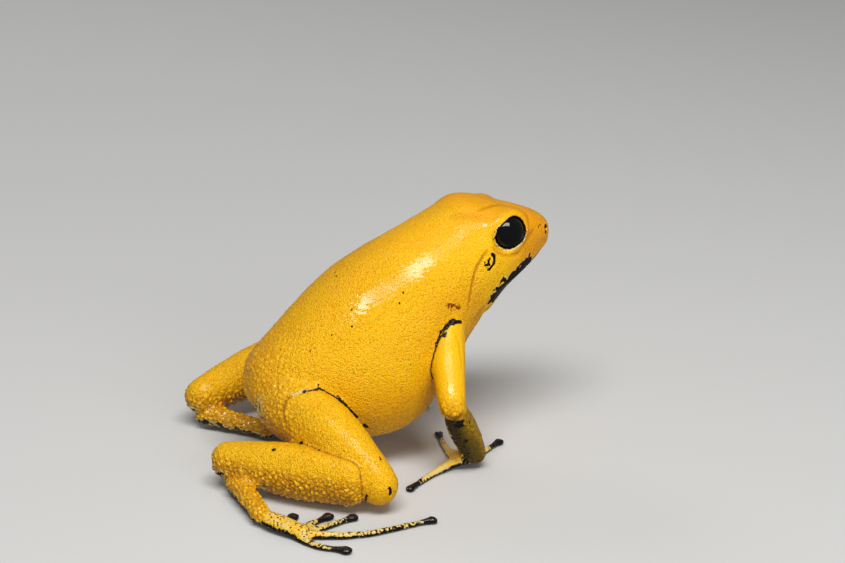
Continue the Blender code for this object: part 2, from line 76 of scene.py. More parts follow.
# Across the edge of a lid: distance outside it, and height of the skin above the eyeball. Inside the edge
# the height is in millimetres, and outside it is a share of the lids' thickness.
LID_PROFILE = ((-0.5, -0.08, 0.0, 0.05, 0.14, 0.3, 0.5), (-0.22, -0.16, 0.0, 0.6, 0.95, 1.0, 0.85))
LIP_FRONT = (28.7, 22.9)
JAW_CORNER = (19.8, 19.0)
NOSTRIL = (28.0, 2.4, 24.83)
EARDRUM = (18.87, 7.0, 22.76)
EARDRUM_RADIUS = 0.8

# The solids whose skin is smoothed as one, and how far each is smoothed, in millimetres
FLESH = {
    "body": {"torso": 0.8, "head": 0.42},
    "arm_right": {"upper_arm_right": 0.34, "forearm_right": 0.34, "hand_right": 0.15},
    "arm_left": {"upper_arm_left": 0.34, "forearm_left": 0.34, "hand_left": 0.15},
    "thigh_right": {"thigh_right": 0.6},
    "thigh_left": {"thigh_left": 0.6},
    "shank_right": {"shank_right": 0.55},
    "shank_left": {"shank_left": 0.55},
    "foot_right": {"tarsus_right": 0.3, "foot_right": 0.15},
    "foot_left": {"tarsus_left": 0.3, "foot_left": 0.15},
}
PARTS = [node for group in FLESH.values() for node in group]

# In millimetres: the cells of each group's own skin, how far solids are grown so that they join, how far the
# joined skin is smoothed, and how far its lowest points stay above the floor
SHELL_CELL = 0.22
REACH = 0.18
SKIN_SOFTNESS = 0.17
FLOOR_GAP = 0.02

# Depth and width of the fold along a seam, and how dark it is between two groups of flesh: painted shade in
# the fold, and a black line that is partly black skin and partly painted shadow
SEAM_DEPTH, SEAM_WIDTH = 0.17, 0.14
SEAM_DARKNESS = {
    frozenset(("body", "arm")): 1.0, frozenset(("body", "thigh")): 1.0, frozenset(("thigh", "shank")): 0.71,
    frozenset(("shank", "foot")): 0.5, frozenset(("body", "shank")): 0.5, frozenset(("thigh", "foot")): 0.5,
}

# The near elbow, in the frog's own frame
ELBOW = (11.5, -7.2, 8.8)

# Coarseness of each part: the height of its coarse granules as a share of the highest
COARSENESS = {
    "torso": 0.14, "head": 0.06, "upper_arm": 0.08, "forearm": 0.25, "hand": 0.12,
    "thigh": 0.2, "shank": 1.0, "tarsus": 0.85, "foot": 0.2,
}

# Folds of the head and neck: depth, width, rise of the skin beside each, darkness of the painted shade in
# each, and places
FOLDS = {
    "jaw": (0.13, 0.16, 0.1, 0.75, [
        (19.1, 6.8, 24.6), (18.7, 6.9, 24.1), (18.3, 7.0, 23.7), (17.9, 7.05, 23.2), (17.4, 7.1, 22.6),
        (16.9, 7.15, 21.6), (16.5, 7.3, 20.2), (16.2, 7.3, 18.9), (15.9, 7.3, 17.6), (15.4, 7.3, 16.4)]),
    "brow": (0.19, 0.24, 0.0, 0.5, [
        (17.4, 4.6, 28.2), (18.5, 4.25, 28.5), (19.7, 3.85, 28.57), (20.95, 3.2, 28.6), (22.2, 2.4, 28.4),
        (23.55, 1.65, 28.07), (24.15, 1.55, 27.87), (24.8, 1.5, 27.68), (25.43, 1.72, 27.4),
        (25.58, 2.4, 27.07), (25.47, 3.2, 26.57), (25.2, 4.0, 26.05), (24.7, 4.95, 25.62),
        (24.4, 5.2, 25.1)]),
    "temple": (0.12, 0.55, 0.2, 0.2, [
        (19.4, 5.2, 28.1), (17.6, 4.6, 28.2), (16.2, 3.7, 28.1), (15.0, 3.0, 27.9)]),
    "below_eye": (0.12, 0.24, 0.2, 0.55, [
        (19.3, 6.7, 24.9), (19.6, 6.9, 24.3), (20.2, 6.9, 23.7), (21.0, 6.7, 23.3), (22.0, 6.4, 23.1),
        (23.1, 6.1, 23.2), (24.0, 5.6, 23.7)]),
    "muzzle": (0.1, 0.25, 0.2, 0.45, [
        (26.2, 3.75, 25.3), (25.2, 4.6, 24.95), (24.4, 5.3, 24.45), (23.5, 5.8, 23.9)]),
    "throat": (0.1, 0.3, 0.2, 0.35, [
        (20.4, 5.8, 18.6), (19.2, 5.7, 17.6), (18.0, 5.9, 16.4), (16.9, 6.2, 15.4)]),
    "collar": (0.12, 0.5, 0.3, 0.1, [
        (17.0, 6.2, 15.6), (19.0, 4.5, 15.6), (20.2, 2.4, 15.2), (20.6, 0.2, 15.0)]),
    "gullet": (0.06, 0.25, 0.2, 0.2, [(21.2, 5.6, 18.6), (20.0, 5.3, 17.2), (18.8, 5.2, 15.9)]),
}

# Creases of the limbs in the frog's own frame: depth, width, darkness of the painted shade in each, and
# places
CREASES = {
    "elbow_right": (0.24, 0.2, 1.0, [
        (9.8, -6.2, 9.6), (10.0, -6.7, 9.0), (10.4, -7.3, 8.4), (11.0, -7.7, 8.0), (11.8, -8.0, 8.1),
        (12.5, -7.9, 8.6), (12.9, -7.5, 9.2)]),
    "elbow_left": (0.24, 0.2, 1.0, [
        (5.9, 18.9, 9.6), (6.2, 19.6, 8.6), (6.9, 20.3, 7.9), (7.8, 20.6, 7.7), (8.7, 20.3, 8.0),
        (9.3, 19.6, 8.8)]),
    "hip_right": (0.2, 0.24, 0.55, [
        (-1.8, -2.1, 10.9), (-2.98, -1.85, 11.55), (-4.4, -2.0, 11.75), (-5.1, -1.95, 11.65),
        (-5.75, -1.78, 11.4), (-6.2, -1.5, 11.25), (-6.6, -1.4, 10.9), (-7.1, -1.42, 10.25),
        (-7.35, -1.6, 9.4), (-7.36, -1.95, 8.55), (-7.13, -2.47, 7.75), (-6.6, -3.3, 7.2)]),
    "arm_front_right": (0.05, 0.14, 0.3, [
        (14.49, -1.67, 16.77), (14.67, -2.2, 15.31), (14.4, -3.3, 13.8), (13.95, -4.46, 12.28),
        (13.37, -5.83, 11.41)]),
    "arm_side_right": (0.05, 0.14, 0.3, [
        (13.56, -2.15, 16.71), (13.68, -3.17, 15.21), (13.61, -4.2, 13.74), (13.23, -5.39, 12.38)]),
    "hip_left": (0.2, 0.24, 0.55, [
        (-0.2, 14.2, 11.8), (-1.2, 14.3, 11.93), (-2.2, 14.4, 11.92), (-3.2, 14.57, 11.7),
        (-4.2, 14.8, 11.16), (-5.0, 14.7, 10.4), (-5.6, 14.3, 9.7), (-6.0, 13.8, 8.95), (-6.1, 13.4, 8.2),
        (-6.2, 13.05, 7.55)]),
}

# Narrow ridges along the backs of the forearms
RIDGES = [
    [(11.0, -6.5, 7.6), (11.6, -6.0, 5.6), (12.4, -5.6, 3.6), (13.2, -5.2, 1.9)],
    [(6.5, 18.6, 7.3), (7.4, 18.0, 5.4), (8.4, 17.4, 3.6), (9.3, 16.8, 2.0)],
]

# Small smooth swellings of the head and neck: place, radius and height
SWELLINGS = [
    ((20.4, 5.84, 27.56), 0.35, 0.07), ((19.2, 5.82, 27.0), 0.5, 0.09), ((17.3, 7.03, 19.5), 0.5, 0.08),
    ((18.2, 7.0, 20.6), 0.8, 0.06), ((27.4, 2.6, 24.2), 0.45, 0.06),
]

# Black lines on each side of the head: half width, and the places each runs through
HEAD_LINES = [
    (0.16, [
        (19.3, 6.96, 23.72), (19.52, 6.98, 23.4), (19.58, 6.98, 23.0), (19.48, 6.98, 22.57),
        (19.3, 6.98, 22.3), (19.04, 7.0, 22.05), (18.7, 6.9, 21.9)]),
    (0.13, [(18.95, 7.0, 23.2), (18.8, 7.03, 22.95), (18.85, 7.0, 22.7), (18.6, 7.0, 22.5)]),
    (0.12, [(18.5, 7.04, 22.55), (18.35, 7.05, 22.5)]),
    (0.08, [(18.92, 7.0, 22.5), (18.9, 7.0, 22.45)]),
    (0.07, [(18.3, 7.06, 22.85), (18.28, 7.06, 22.8)]),
    (0.26, [(28.05, 2.35, 24.98), (27.9, 2.55, 24.72)]),
    (0.09, [(27.1, 2.95, 25.5), (27.05, 3.0, 25.45)]),
    (0.08, [(26.75, 3.3, 25.4), (26.7, 3.35, 25.35)]),
    (0.1, [(19.15, 6.86, 20.85), (19.1, 6.86, 20.8)]),
    (0.09, [(23.8, 1.75, 28.05), (23.9, 1.72, 28.0)]),
]

# How far above the mouth line the black of the lips reaches, by place along the head
LIP_BLACK = ((18.8, 19.6, 20.2, 21.5, 22.5, 23.3, 24.0, 24.9, 25.2, 25.5, 29.5),
             (-0.8, 0.1, 0.3, 0.55, 0.8, 0.95, 1.1, 1.3, 0.9, 0.14, 0.1))

# Marks of the trunk and limbs in the frog's own frame: how sure, half width and places
MARKS = {
    "cream": [
        (1.8, 0.2, [
            (-6.2, -1.5, 11.25), (-5.73, -1.78, 11.4), (-5.06, -1.95, 11.63), (-4.37, -2.04, 11.75)]),
        (1.8, 0.2, [
            (-4.2, 14.8, 11.16), (-3.6, 14.7, 11.45), (-3.0, 14.55, 11.75), (-2.5, 14.45, 11.85)]),
        (0.9, 0.12, [(11.3, -6.3, 6.6), (11.7, -6.0, 5.4), (12.4, -5.6, 3.6), (13.2, -5.2, 1.9)]),
    ],
    "black": [
        # Hips and groin
        (1.8, 0.17, [(-4.8, -2.0, 11.75), (-4.0, -2.03, 11.78), (-3.4, -2.1, 11.7)]),
        (1.8, 0.13, [
            (-3.4, -2.05, 11.7), (-2.98, -1.85, 11.55), (-2.4, -1.95, 11.25), (-1.8, -2.1, 10.9)]),
        (1.2, 0.1, [(-5.2, -2.1, 11.5), (-4.9, -2.15, 11.5)]),
        # Painted shadow on the belly beside the thigh, where the thigh meets it
        (1.8, 0.12, [(-0.99, -2.33, 10.48), (-0.35, -2.5, 9.74), (0.5, -2.55, 8.71), (1.39, -2.4, 7.63)]),
        (1.5, 0.26, [(2.5, -2.0, 6.3), (2.8, -1.8, 5.9)]),
        (1.8, 0.17, [(-3.0, 14.5, 11.8), (-1.7, 14.35, 11.93), (-1.0, 14.3, 11.93)]),
        # Shoulder
        (1.3, 0.13, [
            (11.14, -2.35, 15.0), (11.45, -2.17, 15.76), (11.91, -1.93, 16.48), (12.37, -1.7, 17.0)]),
        (1.3, 0.33, [(12.6, -1.75, 16.95), (13.1, -1.5, 17.4), (13.83, -1.45, 17.4)]),
        (1.3, 0.2, [(13.83, -1.4, 17.35), (14.7, -1.1, 17.1)]),
        (0.66, 0.4, [(11.9, -2.2, 16.0), (12.5, -2.0, 16.6)]),
        # Elbows
        (1.4, 0.24, [(10.95, -6.95, 7.7), (11.68, -7.59, 7.6), (12.5, -7.7, 7.7)]),
        (1.3, 0.34, [(11.69, -7.3, 7.1), (12.17, -7.6, 7.0)]),
        (1.4, 0.24, [(6.9, 20.1, 7.4), (7.8, 20.4, 7.2), (8.6, 20.1, 7.4)]),
        # Flecks of the forearm
        (1.7, 0.08, [(13.4, -7.48, 7.5), (13.45, -7.45, 7.1)]),
        (1.7, 0.12, [(13.22, -7.16, 4.9), (13.1, -7.1, 4.6)]),
        (1.7, 0.08, [(14.25, -7.07, 5.2), (14.3, -7.0, 5.1)]),
        (1.7, 0.1, [(12.34, -6.86, 5.2), (12.3, -6.8, 5.0)]),
        (1.7, 0.13, [(12.96, -6.55, 3.9), (13.1, -6.5, 3.8)]),
        (1.7, 0.1, [(13.86, -6.17, 2.7), (13.9, -6.1, 2.6)]),
        # Flecks of the shank and knee
        (1.7, 0.22, [(-6.1, -4.7, 6.5), (-5.9, -4.8, 6.4)]),
        (1.7, 0.15, [(-9.48, -4.89, 6.3), (-9.4, -4.95, 6.3)]),
        (1.7, 0.09, [(-4.89, -7.41, 6.63), (-4.85, -7.45, 6.6)]),
        (1.7, 0.1, [(-0.95, -12.6, 2.7), (-0.93, -12.34, 2.1), (-0.9, -12.0, 1.6)]),
        (1.7, 0.14, [(1.45, -13.75, 3.71), (1.57, -13.73, 3.19), (1.4, -13.75, 2.9)]),
        (1.7, 0.15, [(-0.7, -11.8, 1.6), (-0.66, -11.7, 1.4)]),
        # Flecks of the flank
        (1.7, 0.09, [(1.25, -2.9, 10.51), (1.3, -2.9, 10.5)]),
        (1.7, 0.08, [(0.94, -1.48, 16.24), (1.0, -1.5, 16.2)]),
        (1.7, 0.1, [(1.53, -0.5, 18.25), (1.6, -0.5, 18.2)]),
        (1.7, 0.07, [(7.2, -0.9, 20.6), (7.2, -0.95, 20.5)]),
        (1.7, 0.08, [(-3.2, 0.6, 15.4), (-3.2, 0.6, 15.3)]),
    ],
    "rust": [
        (0.85, 0.4, [(13.25, -1.07, 19.4), (13.6, -0.9, 19.3)]),
        (0.8, 0.4, [(14.1, -0.85, 19.1), (14.5, -0.7, 18.9)]),
        (1.7, 0.12, [(1.18, -11.12, 6.42), (1.15, -11.48, 6.2)]),
        (1.7, 0.1, [(0.85, -11.8, 6.05), (0.8, -11.85, 6.0)]),
    ],
}
STRAY_SPOTS, STRAY_SEED = 22, 11

# Wet places on each side of the trunk and head: place and radius
WET = [
    ((2.9, 6.8, 19.3), 1.5), ((2.7, 5.8, 20.3), 1.1), ((10.0, 6.5, 22.9), 1.4), ((11.2, 6.2, 23.6), 0.9),
    ((19.16, 5.89, 26.99), 0.45), ((20.35, 5.95, 27.58), 0.4), ((17.27, 7.12, 19.6), 0.5),
]

# Wet places above the elbows in the frog's own frame
WET_ELBOWS = [((11.3, -6.8, 11.3), 0.7), ((7.6, 19.6, 11.0), 0.7)]

# Fingers and toes on the floor, from root to tip
DIGITS = {
    "hand_right": [
        ((12.6, -4.0), (9.4, -5.6), (5.8, -8.2)), ((13.3, -2.8), (13.6, 1.0), (14.2, 4.9)),
        ((14.1, -2.7), (15.9, 0.6), (18.0, 4.4)), ((14.6, -3.4), (17.6, -1.6), (20.3, 0.3))],
    "hand_left": [
        ((10.2, 16.0), (10.4, 13.6), (10.4, 11.0)), ((10.7, 16.1), (12.0, 13.7), (12.9, 11.2)),
        ((11.0, 16.5), (13.4, 15.2), (15.6, 13.4)), ((10.9, 17.1), (13.6, 17.3), (16.4, 17.0))],
    "foot_right": [
        ((-11.4, -12.6), (-10.2, -11.4), (-8.9, -10.4)), ((-10.4, -14.2), (-7.8, -12.9), (-5.1, -11.7)),
        ((-9.6, -14.9), (-6.0, -14.0), (-2.6, -12.9)), ((-9.2, -15.4), (-3.2, -17.3), (5.5, -16.6)),
        ((-9.9, -15.6), (-8.6, -18.2), (-5.8, -20.3))],
    "foot_left": [
        ((-3.0, 11.3), (-1.5, 10.4), (0.0, 9.6)), ((-1.6, 11.7), (0.6, 10.9), (3.0, 10.2)),
        ((-0.9, 12.1), (2.4, 11.7), (5.8, 11.1)), ((-0.6, 12.6), (3.4, 13.4), (7.5, 13.9)),
        ((-0.9, 12.9), (1.9, 15.0), (4.4, 17.3))],
}

# Black of hands and feet: where along a digit it begins and is full, how far from its tip, the blotches
# elsewhere, and the way that the skin of black sides faces
DIGIT_BLACK = {"hand": (3.4, 0.9, 0.15, (0.45, -0.35)), "foot": (2.9, 0.7, 0.3, (0.55, -0.1))}

# Lamps: width and depth, and where each stands, in metres
LAMPS = {
    "key": ((0.3, 0.13), (-0.04, -0.15, 0.36)),
    "fill": ((0.3, 0.3), (0.06, -0.42, 0.1)),
    "back": ((0.12, 0.12), (-0.05, 0.3, 0.22)),
}
LAMP_TARGET = (0.0, 0.0, 0.014)
FLOOR_WIDTH = 8.0

# Where the photograph was taken from, in the frog's own frame
CAMERA_PLACE = (-76.33, -238.11, 119.67)
CAMERA_ANGLES = (math.radians(-20.0), math.radians(21.0))
CAMERA_LENS = 100.0


def trunk_place(forward, side, up):
    """Place of a point of the leaning trunk; side is + to the frog's left."""
    lean, upright = math.sin(ROLL), math.cos(ROLL)
    return np.array([forward, MIDLINE_Y + side * upright + up * lean, up * upright - side * lean])


def trunk_way(forward, side, up):
    """Direction in the trunk's own frame, turned into the floor's, with a length of one."""
    way = trunk_place(forward, side, up) - trunk_place(0.0, 0.0, 0.0)
    return way / np.linalg.norm(way)


def in_trunk(points):
    """Points in the trunk's own frame: forward, out to the left, up."""
    lean, upright = math.sin(ROLL), math.cos(ROLL)
    y, z = points[:, 1] - MIDLINE_Y, points[:, 2]
    return np.stack([points[:, 0], y * upright - z * lean, y * lean + z * upright], 1)


def box_middle(node):
    """Middle of a node's box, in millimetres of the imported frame."""
    low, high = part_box(node)
    return np.array((low + high) / 2.0) / MM


# From the frog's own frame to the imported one
SHIFT = box_middle("eye_right") - trunk_place(EYE_CENTRE[0], -EYE_CENTRE[1], EYE_CENTRE[2])


def step(low, high, values):
    """Smooth rise from 0 at low to 1 at high."""
    t = np.clip((values - low) / (high - low), 0.0, 1.0)
    return t * t * (3.0 - 2.0 * t)


def hump(values, width):
    """Smooth hump of height 1 at 0."""
    return np.exp(-((values / width) ** 2))


def faded(share, last):
    """Strength along a line, which rises at its start and fades from a share of the way to its end."""
    return step(0.0, 0.2, share) * step(1.0, last, share)


def off(points, place):
    """Distance of each point from a place."""
    return np.linalg.norm(points - place, axis=1)


def off_trunk(points, place, side):
    """Distance of each point from a place on one side of the trunk."""
    forward, out, up = place
    return off(points, trunk_place(forward, side * out, up))


class Skin:
    """Points of a mesh in millimetres of the frog's own frame, with what a sculptor needs."""

    def __init__(self, mesh):
        self.mesh = mesh
        self.points = self.read(mesh.vertices, "co", 3) / MM - SHIFT
        edges = self.read(mesh.edges, "vertices", 2, np.int32)
        self.ends = np.concatenate([edges[:, 0], edges[:, 1]])
        self.others = np.concatenate([edges[:, 1], edges[:, 0]])
        self.count = np.bincount(self.ends, minlength=len(self.points))[:, None]

    @staticmethod
    def read(items, name, width, kind=np.float32):
        """One property of every item of a mesh as an array."""
        found = np.zeros(len(items) * width, kind)
        items.foreach_get(name, found)
        return found.reshape(-1, width).astype(np.float64 if kind == np.float32 else kind)

    def store(self):
        """Put the points back into the mesh."""
        placed = ((self.points + SHIFT) * MM).astype(np.float32)
        self.mesh.vertices.foreach_set("co", placed.ravel())
        self.mesh.update()

    def normals(self):
        """Outward direction at each point."""
        self.store()
        return self.read(self.mesh.vertex_normals, "vector", 3)

    def around(self, values):
        """Mean of each point's neighbours."""
        total = np.stack([
            np.bincount(self.ends, weights=column[self.others], minlength=len(values))
            for column in values.T
        ], 1)
        return total / self.count

    def spacing(self):
        """Usual distance between neighbouring points."""
        return float(np.median(np.linalg.norm(self.points[self.ends] - self.points[self.others], axis=1)))

    def soften(self, radius):
        """Smooth the surface as a brush of that radius would at each point."""
        gap = self.spacing()
        passes = max(1, int(math.ceil(float(np.max(radius)) ** 2 / (0.3 * gap * gap))))
        share = np.clip(radius ** 2 / (gap * gap * passes * 0.5), 0.0, 0.7)[:, None]
        for _ in range(passes):
            self.points += (self.around(self.points) - self.points) * share

    def blurred(self, values, passes):
        """Values at each point, evened out over its neighbours."""
        columns = values.reshape(len(values), -1).astype(float)
        for _ in range(passes):
            columns += (self.around(columns) - columns) * 0.6
        return columns.reshape(values.shape)

    def push(self, amount):
        """Move each point outwards by its own amount."""
        self.points += self.normals() * np.broadcast_to(amount, len(self.points))[:, None]

    def keep(self, name, values):
        """Store one number at each point under a name that the materials read."""
        layer = self.mesh.attributes.get(name) or self.mesh.attributes.new(name, "FLOAT", "POINT")
        layer.data.foreach_set("value", values.astype(np.float32))

    def kept(self, name):
        """Numbers stored under a name."""
        return self.read(self.mesh.attributes[name].data, "value", 1)[:, 0]


def line_distance(points, places, reach=2.0):
    """Distance from a bent line through some places, and the share of the way along it."""
    places = np.array(places, float)
    distance = np.full(len(points), 99.0)
    share = np.zeros(len(points))
    inside = np.all((points > places.min(0) - reach) & (points < places.max(0) + reach), axis=1)
    near = points[inside]
    best, along = np.full(len(near), 99.0), np.zeros(len(near))
    legs = len(places) - 1
    for i in range(legs):
        way = places[i + 1] - places[i]
        t = np.clip((near - places[i]) @ way / (way @ way), 0.0, 1.0)
        gap = np.linalg.norm(near - places[i] - t[:, None] * way, axis=1)
        closer = gap < best
        best = np.where(closer, gap, best)
        along = np.where(closer, (i + t) / legs, along)
    distance[inside], share[inside] = best, along
    return distance, share


def laid_on(points, places, steps=5):
    """A bent line through some places, laid onto the nearest points of a surface."""
    run = []
    for first, second in zip(places[:-1], places[1:]):
        run.extend(np.array(first) + (np.array(second) - first) * (i / steps) for i in range(steps))
    run.append(np.array(places[-1]))
    return [points[np.argmin(((points - p) ** 2).sum(1))] for p in run]


def noise_at(points, scale, seed):
    """Smooth unevenness from about -1 to 1, in lumps of about a size in millimetres."""
    offset = Vector((seed * 7.3, seed * 3.1, seed * 5.7))
    return np.array([noise.fractal(Vector(p) / scale + offset, 1.0, 2.0, 2) for p in points])


def granules_at(points, scale, seed):
    """Rounded granules with narrow grooves between them, from 0 in a groove to 1 on top."""
    offset = Vector((seed, seed * 2.0, seed * 3.0))
    found = np.empty(len(points))
    for i, p in enumerate(points):
        nearest = noise.voronoi(Vector(p) / scale + offset)[0]
        found[i] = nearest[1] - nearest[0]
    return step(-0.05, 0.65, found)


def flesh_mesh(nodes, reach):
    """Solids of the frame as one mesh, each grown outwards."""
    bm = bmesh.new()
    for node in nodes:
        bm.from_mesh(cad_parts[node].data)
    bmesh.ops.remove_doubles(bm, verts=bm.verts, dist=1e-6)
    bm.normal_update()
    for vert in bm.verts:
        vert.co += vert.normal * (reach * MM)
    return bm


def even_skin(bm, cell):
    """The outside of everything in a mesh as one skin of even cells."""
    mesh = bpy.data.meshes.new("shell")
    bm.to_mesh(mesh)
    bm.free()
    shell = bpy.data.objects.new("shell", mesh)
    bpy.context.scene.collection.objects.link(shell)
    modifier = shell.modifiers.new("skin", "REMESH")
    modifier.mode = "VOXEL"
    modifier.voxel_size = cell * MM
    modifier.adaptivity = 0.0
    depsgraph = bpy.context.evaluated_depsgraph_get()
    result = bpy.data.meshes.new_from_object(shell.evaluated_get(depsgraph))
    bpy.data.objects.remove(shell)
    bpy.data.meshes.remove(mesh)
    return result


def tree_of(mesh):
    """Search tree over a mesh's faces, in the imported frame's metres."""
    return BVHTree.FromPolygons([v.co for v in mesh.vertices], [p.vertices[:] for p in mesh.polygons])


def gaps_to(tree, points, far):
    """Distance of each point from a surface, in millimetres, up to a limit."""
    found = np.full(len(points), far)
    for i, p in enumerate((points + SHIFT) * MM):
        distance = tree.find_nearest(Vector(p), far * MM)[3]
        if distance is not None:
            found[i] = distance / MM
    return found


def nearest_part(skin, nodes):
    """Index in PARTS of the solid nearest to each point."""
    best = np.full(len(skin.points), 9.0)
    part = np.zeros(len(skin.points), np.int32)
    for node in nodes:
        gap = gaps_to(tree_of(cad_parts[node].data), skin.points, 3.0)
        closer = gap < best
        best[closer] = gap[closer]
        part[closer] = PARTS.index(node)
    return part


def group_shell(nodes):
    """Smooth skin of one group of solids, without their facets and without the gaps between them."""
    mesh = even_skin(flesh_mesh(nodes, REACH), SHELL_CELL)
    skin = Skin(mesh)
    skin.push(-REACH)
    part = nearest_part(skin, list(nodes))
    radius = np.array([nodes.get(name, 0.0) for name in PARTS])[part]
    radius = skin.blurred(radius, 8)
    skin.soften(radius)
    skin.push(radius ** 2 * 0.02)
    skin.store()
    return mesh


def eye_axes(side):
    """Centre of an eye, and its outward, upward and forward directions."""
    centre = box_middle("eye_right" if side < 0.0 else "eye_left") - SHIFT
    out = math.cos(EYE_FORWARD) * math.cos(EYE_UPWARD)
    axis = trunk_way(math.sin(EYE_FORWARD), side * out, math.sin(EYE_UPWARD))
    up = trunk_way(0.0, 0.0, 1.0)
    up = up - axis * (up @ axis)
    up /= np.linalg.norm(up)
    return centre, axis, up, np.cross(up, axis) * -side


def lid_edge(turn, opening):
    """Distance of the lids' edge from the eye's axis, with slight corners at the front and the back."""
    oval = 2.6 * np.cos(2.0 * (turn - math.radians(10.0)))
    corners = 8.0 * np.cos(2.0 * (turn - math.radians(42.0)))
    return EYE_RADIUS * np.sin(np.radians(opening + oval + corners))


def eye_measures(points, side, opening):
    """Where points lie by an eye: distance from its centre, height along its axis, turn and edge.

    The turn runs from the eye's front over its top. The edge is how far a point lies outside the edge of the
    lids, seen along the axis.
    """
    centre, axis, up, front = eye_axes(side)
    way = points - centre
    distance = np.linalg.norm(way, axis=1)
    height = way @ axis
    turn = np.arctan2(way @ up, way @ front)
    beyond = np.sqrt(np.maximum(distance ** 2 - height ** 2, 0.0)) - lid_edge(turn, opening)
    return distance, height, turn, beyond


def mouth_height(forward):
    """Height of the mouth line at a place along the head."""
    slope = (LIP_FRONT[1] - JAW_CORNER[1]) / (LIP_FRONT[0] - JAW_CORNER[0])
    return LIP_FRONT[1] + (forward - LIP_FRONT[0]) * slope


def refine(mesh, pick):
    """Halve the cells of a mesh where a test picks their points."""
    bm = bmesh.new()
    bm.from_mesh(mesh)
    bm.verts.ensure_lookup_table()
    edges = [e for e in bm.edges if pick[e.verts[0].index] and pick[e.verts[1].index]]
    bmesh.ops.subdivide_edges(bm, edges=edges, cuts=1, use_grid_fill=True)
    bmesh.ops.triangulate(bm, faces=[f for f in bm.faces if len(f.verts) > 4])
    bm.to_mesh(mesh)
    bm.free()
    mesh.update()


def along_digits(points, limb):
    """Share of the way along the nearest finger or toe, distance from its tip and how far off its middle."""
    best = np.full(len(points), 99.0)
    along, tip, aside = np.zeros(len(points)), np.full(len(points), 99.0), np.full(len(points), 99.0)
    for places in DIGITS[limb]:
        gap, share = line_distance(points, [(x, y, 0.4) for x, y in places])
        end = np.array([*places[-1], 0.4])
        way = np.array(places[-1]) - places[-2]
        way /= np.linalg.norm(way)
        closer = gap < best
        best = np.where(closer, gap, best)
        along = np.where(closer, share, along)
        tip = np.where(closer, np.linalg.norm(points - end, axis=1), tip)
        aside = np.where(closer, (points[:, 0] - end[0]) * way[1] - (points[:, 1] - end[1]) * way[0], aside)
    return along, tip, aside


def marks(points, lines):
    """How surely each point lies on one of some short lines, each laid onto the skin."""
    found = np.zeros(len(points))
    for sureness, width, places in lines:
        gap, _ = line_distance(points, laid_on(points, places, 2))
        found = np.maximum(found, sureness * hump(gap, width))
    return found


def both_sides(places, side):
    """Places given for one side of the trunk, set on the side asked for."""
    return [trunk_place(f, side * out, up) for f, out, up in places]


def shape_lids(skin, side, opening, thickness):
    """Close the skin round an eye as a rounded lid, and sink it below the eyeball inside."""
    axis = eye_axes(side)[1]
    _, height, turn, beyond = eye_measures(skin.points, side, opening)
    # The skin lies below the ball inside the edge of the lids, and outside it follows the ball as a lid
    reach = beyond + lid_edge(turn, opening)
    ball = np.sqrt(np.maximum(EYE_RADIUS ** 2 - np.minimum(reach, reach - beyond) ** 2, 0.0))
    upper = step(-0.3, 0.6, np.sin(turn))
    rises = np.interp(beyond, *LID_PROFILE)
    target = ball + np.where(beyond > 0.0, rises * thickness * (1.0 + 0.12 * upper), rises)
    weight = (1.0 - step(0.16 + 0.3 * upper, 1.0 + 0.3 * upper, beyond)) * step(-1.2, -0.4, height)
    weight = weight * (reach < 4.0)
    skin.points += ((target - height) * weight)[:, None] * axis


def head_folds(skin, side):
    """Each fold of one side of the head, with its line laid onto the skin."""
    return [
        (*measures, laid_on(skin.points, both_sides(places, side)))
        for *measures, places in FOLDS.values()
    ]


def carve_head(skin):
    """Mouth, nostrils, eardrums, swellings and folds of the head; gives the painted shade of the folds."""
    forward, _, up = in_trunk(skin.points).T
    above = up - mouth_height(forward)
    # A groove along the mouth, with the lips swelling beside it and the chin drawn in
    on_mouth = step(JAW_CORNER[0] - 0.4, JAW_CORNER[0] + 1.0, forward) * (np.abs(above) < 2.5)
    amount = -0.3 * hump(above, 0.12) + 0.07 * hump(above - 0.4, 0.3) + 0.03 * hump(above + 0.4, 0.25)
    amount = (amount - 0.07 * step(-0.1, -0.5, above) * step(-2.4, -1.2, above)) * on_mouth
    dark = np.zeros(len(skin.points))
    for _, side in SIDES:
        hole = off_trunk(skin.points, NOSTRIL, side)
        amount += -0.4 * hump(hole, 0.2) + 0.06 * hump(hole - 0.42, 0.18)
        drum = off_trunk(skin.points, EARDRUM, side)
        amount += -0.07 * hump(drum - EARDRUM_RADIUS, 0.15) - 0.05 * hump(drum, 0.45)
        for depth, width, rise, darkness, places in head_folds(skin, side):
            gap, share = line_distance(skin.points, places)
            ends = faded(share, 0.75)
            amount += depth * ends * (rise * hump(gap - 2.5 * width, 1.4 * width) - hump(gap, width))
            dark = np.maximum(dark, darkness * ends * np.minimum(1.0, 1.3 * hump(gap, width)))
        for place, radius, height in SWELLINGS:
            amount += height * hump(off_trunk(skin.points, place, side), radius)
    skin.push(amount)
    return dark


def seams(skin, shells):
    """Distance of each point from the seam of two groups of flesh, and how dark that seam is, as painted
    shade and a black line.

    The distance is below 0 on the side of the group that comes later in FLESH.
    """
    kinds = [name.split("_")[0] for name in shells]
    gaps = np.stack([gaps_to(tree_of(shell), skin.points, 1.6) for shell in shells.values()], 1)
    order = np.argsort(gaps, axis=1)
    rows = np.arange(len(gaps))
    first, second = order[:, 0], order[:, 1]
    distance = (gaps[rows, second] - gaps[rows, first]) * np.where(first < second, 1.0, -1.0)
    table = np.array([[SEAM_DARKNESS.get(frozenset((a, b)), 0.0) for b in kinds] for a in kinds])
    return distance, table[first, second] * (gaps[rows, second] < 1.5)


def part_share(skin, part, names):
    """Softened share of a point's surroundings that belongs to the named parts."""
    wanted = [i for i, name in enumerate(PARTS) if name in names or name.rsplit("_", 1)[0] in names]
    return skin.blurred(np.isin(part, wanted).astype(float), 6)


